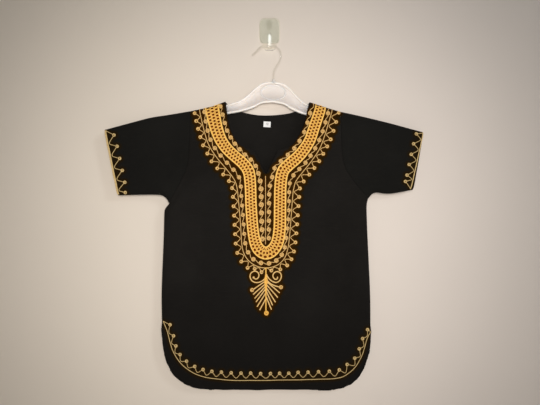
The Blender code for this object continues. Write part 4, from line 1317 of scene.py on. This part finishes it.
def buildHanger(name, material):
    topCurve, bottomCurve = smoothCurve(hanger["top"]), smoothCurve(hanger["bottom"])
    reach, wall = hanger["top"][-1][0], hanger["endWall"]
    outerHalf, innerHalf = hanger["endDepth"]
    step = hanger["endStep"]
    ends = [(-reach, outerHalf), (step - reach, innerHalf), (wall - reach - step, innerHalf)]
    sections = [(u, hanger["webHalf"]) for u in np.linspace(wall - reach, reach - wall, hanger["stations"])]
    sections = ends + sections + [(-u, half) for u, half in ends[::-1]]
    body = loft(name, [hangerRing(u, half, topCurve, bottomCurve) for u, half in sections], material, 45.0)
    bodyCount = len(body.data.vertices)
    halfWidth, halfHeight, centre = hanger["oval"]
    rings = [[hangerPoint((halfWidth - inset) * cos(a), centre + (halfHeight - inset) * sin(a), y)
              for inset, y in hanger["ovalSection"]] for a in circleAngles(72)]
    oval = loft("oval", rings, material, 45.0, closed=True)
    x0, y0, z0 = hanger["middle"]
    collar = loft("collar", [[(x0 + r * cos(a), y0 + r * sin(a), z0 + z) for a in circleAngles(28)]
                             for r, z in hanger["collar"]], material, 45.0)
    work = bmesh.new()
    for piece in (body, oval, collar):
        work.from_mesh(piece.data)
    work.to_mesh(body.data)
    work.free()
    for piece in (oval, collar):
        bpy.data.objects.remove(piece, do_unlink=True)
    # the thin web, apart from the thick rims, ring and collar
    places = vertexTable(body.data)
    depth = np.abs(places[:, 1] / mm - y0)
    thin = (np.abs(depth - hanger["webHalf"]) < 0.05) & (np.arange(len(places)) < bodyCount)
    markPoints(body, "web", thin)
    return body


def plasticMaterial(name, colour, thin, armShadeColour, roughness):
    # moulded plastic, deeper in tone where it is thin, with painted shade greying the arms towards their
    # ends, where they go into the shirt
    material, tree, shader = newMaterial(name, Roughness=roughness, Subsurface_Weight=0.35,
                                         Subsurface_Scale=0.006, Subsurface_Radius=(1.0, 0.8, 0.6),
                                         Specular_IOR_Level=0.35)
    place = placeOf(tree)
    haze = noise(tree, place, 55.0, 5.0)
    base = blend(tree, mapRange(tree, haze, 0.35, 0.65), [c * 0.97 for c in colour], colour)
    web = addNode(tree, "Attribute", attribute_name="web").outputs["Fac"]
    base = blend(tree, web, base, thin)
    # painted shade: the arms grey away from the middle, the rims less than the web
    middle, begins, full = (distance * mm for distance in hanger["armShade"])
    fromMiddle = calculate(tree, "ABSOLUTE", calculate(tree, "ADD", -middle, axesOf(tree, place)["X"]))
    rimShare = hanger["rimArmShade"]
    onWeb = mapRange(tree, web, -rimShare / (1.0 - rimShare), 1.0)
    armShade = calculate(tree, "MULTIPLY", mapRange(tree, fromMiddle, begins, full), onWeb)
    colourAndBump(tree, shader, blend(tree, armShade, base, armShadeColour), haze, 0.08, 0.0003)
    return material


# the fourth colour is the painted shade on the arms' ends
hangerPlastic = plasticMaterial("hangerPlastic", (0.66, 0.607, 0.555), (0.575, 0.515, 0.47),
                                (0.365, 0.34, 0.325), 0.46)
hangerBody = buildHanger("hangerBody", hangerPlastic)

# the hanger's hook: a bent clear bar
wire = {
    "route": (
        (7.5, -14, -97.5), (7.5, -14, -95.7), (7.3, -13.8, -87), (8.3, -13.2, -78), (12, -12.2, -70.5),
        (17.4, -11, -61.8), (20.9, -10.1, -52.6), (20.4, -9.6, -43.2), (16.6, -9.3, -36.2),
        (9, -9.2, -31.6), (0, -9.2, -30.9), (-9, -9.2, -31.4), (-17, -9, -33.6), (-22, -8.8, -38.6),
        (-26.5, -8.6, -43.6), (-32, -8.5, -47.6)),
    "radius": 1.45,
    "sides": 16,
    "rootShare": 0.75,  # its radius inside the collar, as a share
    "endRound": (0, 0.5, 0.85),
}


def unitSteps(line):
    ahead = np.gradient(line, axis=0)
    return ahead / np.linalg.norm(ahead, axis=1)[:, None]


def buildWire(name, material):
    # a bar along a smooth line, with a rounded free end
    line, radius = smoothCurve(wire["route"], 8), wire["radius"]
    ahead = unitSteps(line)
    across = np.cross(ahead, [0.0, -1.0, 0.0])
    across /= np.linalg.norm(across, axis=1)[:, None]
    angles = circleAngles(wire["sides"])[None, :, None]
    circle = np.cos(angles) * across[:, None] + np.sin(angles) * np.cross(across, ahead)[:, None]
    rings = [line[0] + circle[0] * radius * wire["rootShare"]]
    rings += [line[k] + circle[k] * radius for k in range(1, len(line) - 1)]
    rings += [line[-1] + ahead[-1] * radius * share + circle[-1] * radius * sqrt(1.0 - share ** 2)
              for share in wire["endRound"]]
    return loft(name, rings, material, 50.0)


# where clear plastic changes, in metres: heights where the colour turns to its low one, and depths
# where the part that stands off the wall begins to shine
clear = {"low": (-0.0235, -0.0265), "shine": (-0.0126, -0.0134)}


def clearMaterial(name, colour, low, bending, gloss, shadowTint):
    # lamps shine through it to what lies behind
    material, tree, shader = newMaterial(name, Roughness=0.05, Transmission_Weight=1.0, IOR=bending,
                                         Specular_IOR_Level=0.0, Coat_Roughness=0.12)
    axes = axesOf(tree, placeOf(tree))
    base = blend(tree, mapRange(tree, axes["Z"], *clear["low"]), colour, low)
    tree.links.new(base, shader.inputs["Base Color"])
    tree.links.new(mapRange(tree, axes["Y"], *clear["shine"], gloss), shader.inputs["Coat Weight"])
    orClear(tree, shader, addNode(tree, "LightPath").outputs["Is Shadow Ray"], shadowTint)
    return material


clearHook = clearMaterial("clearHook", (0.87, 0.885, 0.86), (0.95, 0.945, 0.93), 1.18, 1.0,
                          (0.80, 0.80, 0.77))
clearWire = clearMaterial("clearWire", (0.90, 0.885, 0.85), (0.93, 0.92, 0.89), 1.35, 0.0,
                          (0.70, 0.67, 0.62))
hangerHook = buildWire("hangerHook", clearWire)

# the wall hook and its strip
wallHook = {
    "width": 39,
    "height": 49,
    "middleZ": -1,
    "back": -1.3,
    # the plate's edge: (inset, depth in front of its back)
    "edge": (
        (1.6, 0), (0.5, 0), (0.05, 0.3), (0, 1.2), (0.2, 1.8), (0.6, 2.3), (1.2, 2.65), (2.2, 2.8),
        (3.4, 2.8)),
    # the arm, from its root: (y, z, half width, half thickness)
    "arm": (
        (-3.2, -17, 13, 1.2), (-3.6, -24, 13.6, 1.2), (-4.2, -30, 13, 1.2), (-5.2, -34.4, 11.4, 1.2),
        (-6.8, -37.4, 8.4, 1.2), (-9, -38.6, 5.2, 1.2), (-11.2, -35.4, 4.4, 1.2), (-12.3, -31, 4.3, 1.2),
        (-14.4, -22, 4.2, 1.15), (-17.1, -12, 3.3, 1)),
    # a corner of the arm's section: (inset from its side, share of the half thickness)
    "armCorner": ((0, 0.35), (0.2, 0.7), (0.6, 0.93), (1.1, 1)),
    "tipRound": ((0.75, 0.6), (0.35, 1)),  # (size, distance ahead)
    "stripInset": 1.6,
    "patchMiddle": (-0.8, 0, 10.5),  # of the darker patch on the strip
    "patchScale": (155, 0, 88),  # one over its half sizes in metres
    # (inset, y)
    "strip": ((0.15, 0), (0, -0.15), (0, -0.85), (0.15, -1)),
}


def plateOutline(inset, y, count=96):
    outline = []
    for angle in 2 * pi * (np.arange(count) + 0.5) / count:
        radius = (abs(cos(angle)) ** 5 + abs(sin(angle)) ** 5) ** -0.2
        outline.append((radius * cos(angle) * (wallHook["width"] / 2 - inset), y,
                        wallHook["middleZ"] + radius * sin(angle) * (wallHook["height"] / 2 - inset)))
    return outline


def buildWallHook(name, material):
    rings = [plateOutline(inset, wallHook["back"] - depth) for inset, depth in wallHook["edge"]]
    plate = loft(name, rings, material, 45.0)
    route = smoothCurve(wallHook["arm"], 6)
    ahead = unitSteps(route[:, :2])
    rings = []
    for (y, z, across, thick), (ay, az) in zip(route, ahead):
        loop = [(across - inset, share) for inset, share in wallHook["armCorner"]]
        loop += [(-x, share) for x, share in loop[::-1]]
        loop += [(x, -share) for x, share in loop[::-1]]
        rings.append(np.array([(x, y - az * thick * share, z + ay * thick * share) for x, share in loop]))
    tip, middle = rings[-1], np.mean(rings[-1], axis=0)
    rings += [middle + (tip - middle) * size + np.array([0.0, *ahead[-1]]) * push
              for size, push in wallHook["tipRound"]]
    arm = loft("arm", rings, material, 45.0)
    union = plate.modifiers.new("arm", "BOOLEAN")
    union.operation, union.solver, union.object = "UNION", "EXACT", arm
    joined = bpy.data.meshes.new_from_object(plate.evaluated_get(bpy.context.evaluated_depsgraph_get()))
    plate.modifiers.clear()
    plate.data = joined
    bpy.data.objects.remove(arm, do_unlink=True)
    joined.shade_smooth()
    joined.set_sharp_from_angle(angle=radians(40.0))
    return plate


def foamMaterial(name, colour, wetted):
    # pale foam with a darker patch where it has pressed against the plate
    material, tree, shader = newMaterial(name, Roughness=0.7)
    place = placeOf(tree)
    fromPatch = moved(tree, "ADD", place, [-part * mm for part in wallHook["patchMiddle"]])
    reach = moved(tree, "LENGTH", moved(tree, "MULTIPLY", fromPatch, wallHook["patchScale"]))
    ragged = noise(tree, place, 160.0, 3.0)
    reach = calculate(tree, "ADD", reach, calculate(tree, "MULTIPLY", ragged, 0.5))
    base = blend(tree, mapRange(tree, reach, 1.35, 0.75), colour, wetted)
    colourAndBump(tree, shader, base, ragged, 0.2, 0.0003)
    return material


foamTape = foamMaterial("foamTape", (0.495, 0.448, 0.376), (0.41, 0.372, 0.30))
hookPlate = buildWallHook("wallHookPlate", clearHook)
foamStrip = loft("foamStrip", [plateOutline(wallHook["stripInset"] + inset, y, 48)
                               for inset, y in wallHook["strip"]], foamTape)
print("hanger, hook and wall hook built")

# the size label at the back of the neck
label = {
    "size": (13.4, 10.6),
    "centre": (-4.7, -177.4),
    "tilt": 3,  # degrees; the right side hangs lower
    "number": "12",
    "numberSize": 5.6,
    "numberPlace": (-2.8, -1.3),  # from the middle to the number's lower left corner
    "numberLift": 0.12,
    "depth": 0.45,
    "curl": (0.2, 7, 0.6),  # (how far its sides stand off, how fast that changes up the label, start)
    "numberDepth": 0.06,  # half the thickness of its threads
    "gap": 0.3,
    "grid": (14, 10),
}


def labelMaterial(name, colour):
    material, tree, shader = newMaterial(name, Roughness=0.8, Sheen_Weight=0.1, Specular_IOR_Level=0.3)
    weave = addNode(tree, "Group", node_tree=plainWeave)
    weave.inputs["Threads per metre"].default_value = 3600.0
    base = blend(tree, weave.outputs["Height"], [c * 0.8 for c in colour], colour)
    colourAndBump(tree, shader, base, weave.outputs["Height"], 0.4, 0.0001)
    return material


def onLabel(u, v):
    # from the label's own frame to x and z
    (midX, midZ), turn = label["centre"], radians(label["tilt"])
    return midX + u * cos(turn) + v * sin(turn), midZ - u * sin(turn) + v * cos(turn)


def buildLabel(name, material):
    columns, rows = label["grid"]
    axes = np.meshgrid(np.linspace(-0.5, 0.5, columns), np.linspace(-0.5, 0.5, rows))
    u, v = (axis.ravel() for axis in axes)
    x, z = onLabel(u * label["size"][0], v * label["size"][1])
    back = surfaceY(x, z, 1) - panel["wall"] - label["gap"]
    height, rate, start = label["curl"]
    front = back - label["depth"] - height * np.abs(np.cos(v * rate + start) * u)
    skins = [np.stack([x, y, z], 1) for y in (front, back)]
    return slab(name, *skins, gridFaces(rows, columns), material)


def buildNumber(name, material):
    # the size, woven in: a plain number
    text = bpy.data.curves.new(name, "FONT")
    text.body = label["number"]
    text.size = label["numberSize"]
    text.extrude = label["numberDepth"]
    text.resolution_u = 3
    lettering = bpy.data.objects.new(name, text)
    bpy.context.scene.collection.objects.link(lettering)
    mesh = bpy.data.meshes.new_from_object(lettering.evaluated_get(bpy.context.evaluated_depsgraph_get()))
    bpy.data.objects.remove(lettering, do_unlink=True)
    u, v, lift = vertexTable(mesh).T
    x, z = onLabel(u + label["numberPlace"][0], v + label["numberPlace"][1])
    ground = surfaceY(*(np.array([place]) for place in label["centre"]), 1) - panel["wall"] - label["gap"]
    y = ground - label["depth"] - label["numberLift"] - lift
    faces = [list(face.vertices) for face in mesh.polygons]
    return meshPiece(name, np.stack([x, y, z], 1), faces, material, 30.0)


labelCloth = labelMaterial("labelCloth", (0.80, 0.775, 0.745))
labelInk = labelMaterial("labelInk", (0.09, 0.065, 0.055))
sizeLabel = buildLabel("sizeLabel", labelCloth)
sizeNumber = buildNumber("sizeNumber", labelInk)

# the wall and the floor
stage = {
    "floorZ": -1050,
    "wallY": 0.25,
    "wallColour": (0.692, 0.606, 0.508),
    "wallFar": (0.696, 0.612, 0.541),  # towards the right
    "turning": (-0.3, 0.3),  # from x to x, in metres, where one turns to the other
    "floorColour": (0.72, 0.70, 0.67),
    "halfWidth": 2600,
    "top": 1700,
}


def stageMaterial(name, colour, far, mottle, seenFromBehind):
    material, tree, shader = newMaterial(name, Roughness=0.85, Specular_IOR_Level=0.2)
    place = placeOf(tree)
    tone = mapRange(tree, noise(tree, place, 3.0, 5.0), 0.3, 0.7)
    paint = blend(tree, mapRange(tree, axesOf(tree, place)["X"], *stage["turning"]), colour, far)
    base = blend(tree, tone, moved(tree, "SCALE", paint, 1.0 - mottle), paint)
    colourAndBump(tree, shader, base, noise(tree, place, 700.0, 2.0), 0.08, 0.0004)
    if not seenFromBehind:
        # from behind, the wall is left out, and lamps there reach the shirt's back
        behind = addNode(tree, "NewGeometry").outputs["Backfacing"]
        shadow = addNode(tree, "LightPath").outputs["Is Shadow Ray"]
        orClear(tree, shader, calculate(tree, "MAXIMUM", behind, shadow), (1.0, 1.0, 1.0))
    return material


reach, top, floorZ, wallY = (stage[part] for part in ("halfWidth", "top", "floorZ", "wallY"))
wallPaint = stageMaterial("wallPaint", stage["wallColour"], stage["wallFar"], 0.03, False)
floorPaint = stageMaterial("floorPaint", stage["floorColour"], stage["floorColour"], 0.05, True)
backdrop = meshPiece("backdrop", [(-reach, wallY, floorZ), (reach, wallY, floorZ), (reach, wallY, top),
                                  (-reach, wallY, top)], [[0, 1, 2, 3]], wallPaint)
floor = meshPiece("floor", [(-reach, -reach, floorZ), (reach, -reach, floorZ), (reach, reach, floorZ),
                            (-reach, reach, floorZ)], [[0, 1, 2, 3]], floorPaint)

world = bpy.data.worlds.new("room")
world.use_nodes = True
background = world.node_tree.nodes["Background"]
background.inputs["Color"].default_value = (1.0, 0.985, 0.97, 1.0)
# pale to look at and in reflections, dimmer as a light
rays = addNode(world.node_tree, "LightPath").outputs
seen = calculate(world.node_tree, "MAXIMUM", rays["Is Camera Ray"],
                 calculate(world.node_tree, "MAXIMUM", rays["Is Glossy Ray"], rays["Is Transmission Ray"]))
strength = calculate(world.node_tree, "MULTIPLY_ADD", seen, 0.50, 0.18)
world.node_tree.links.new(strength, background.inputs["Strength"])
bpy.context.scene.world = world


def addObject(name, data, place):
    made = bpy.data.objects.new(name, data)
    bpy.context.scene.collection.objects.link(made)
    made.location = place
    return made


def lamp(name, place, target, power, colour, only=(), spread=0.0, **settings):
    # a round area lamp, or a spot where it has a spread; it lights the pieces in only, or all
    data = bpy.data.lights.new(name, "SPOT" if spread else "AREA")
    data.energy, data.color = power, colour
    if spread:
        data.spot_size, data.spot_blend = radians(spread), 1.0
    else:
        data.shape = "DISK"
    for key, value in settings.items():
        setattr(data, key, value)
    made = addObject(name, data, place)
    made.rotation_euler = (Vector(target) - Vector(place)).to_track_quat("-Z", "Y").to_euler()
    made.visible_transmission = False  # none is seen through the clear plastic
    if only:
        lit = bpy.data.collections.new(name + "Pieces")
        for piece in only:
            lit.objects.link(piece)
        made.light_linking.receiver_collection = lit
    return made


warm = (1.0, 0.98, 0.95)
behind = (0.0, 2.1, 0.15)
keyPlace = (0.028, -1.20, -0.227)
keyLight = lamp("keyLight", keyPlace, (-0.024, 0.0, -0.346), 53.2, (1.0, 0.985, 0.975),
                [hookPlate, hangerHook], spread=64.3, shadow_soft_size=0.22)
for piece in keyLight.light_linking.receiver_collection.collection_objects:
    piece.light_linking.link_state = "EXCLUDE"  # a softer lamp from the same place puts the shine on these
lamp("shineLight", keyPlace, (0.0, 0.0, -0.03), 4.4, (1.0, 1.0, 1.0), [hookPlate], size=0.44)
lamp("windowLight", (2.1, -1.9, 0.90), (0.0, 0.0, -0.2), 15.0, (0.88, 0.975, 1.05), size=0.60)
# the lamps behind light what hangs there, but not the clear pieces, which would throw it on the wall
lamp("backFill", behind, (0.0, 0.0, -0.35), 45.0, warm,
     [frontPanel, backPanel, sleeveLeft, sleeveRight, hemBack, cuffLeft, cuffRight, foamStrip, floor],
     size=1.3)
lamp("hangerGlow", behind, (0.0, 0.0, -0.1), 7.0, warm, [hangerBody], size=1.3)
lamp("hangerFill", (0.0, -0.25, -1.0), (0.0, 0.0, -0.12), 6.0, warm, [hangerBody], size=0.5)
lamp("floorLight", (0.0, -0.6, 1.2), (0.0, -0.6, -1.05), 15.0, (1.0, 0.985, 0.97), [floor], size=1.6)

camera = addObject("camera", bpy.data.cameras.new("camera"), (0.00076, -0.850, -0.324))
camera.rotation_euler = (radians(90.0), 0.0, 0.0)
camera.data.lens = 30.0
camera.data.sensor_width = 36.0
camera.data.clip_start = 0.01
bpy.context.scene.camera = camera
bpy.context.scene.view_settings.view_transform = "Standard"

# what each piece stands for
replacing = (
    (frontPanel, "front_panel", "black_cotton"), (backPanel, "back_panel", "black_cotton"),
    (sleeveLeft, "sleeve_left", "black_cotton"), (sleeveRight, "sleeve_right", "black_cotton"),
    (bandMat, "neck_embroidery", "gold_thread"), (neckBand, "neck_embroidery", "gold_thread"),
    (neckBorders, "neck_embroidery", "gold_thread"),
    (sizeLabel, "size_label", "white_label"), (hangerBody, "hanger_body", "white_plastic"),
    (hangerHook, "hanger_hook", "clear_plastic"), (hookPlate, "wall_hook", "clear_plastic"),
    (foamStrip, "adhesive_strip", "foam_tape"),
)
for piece, node, slot in replacing:
    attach(piece, "root")
    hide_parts(node)
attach(sizeNumber, "root")
for piece in (neckDots, neckPicots, neckLeaf, neckLeafStem, hemFront, hemBack, cuffLeft, cuffRight):
    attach(piece, "root")

print("pieces ready")
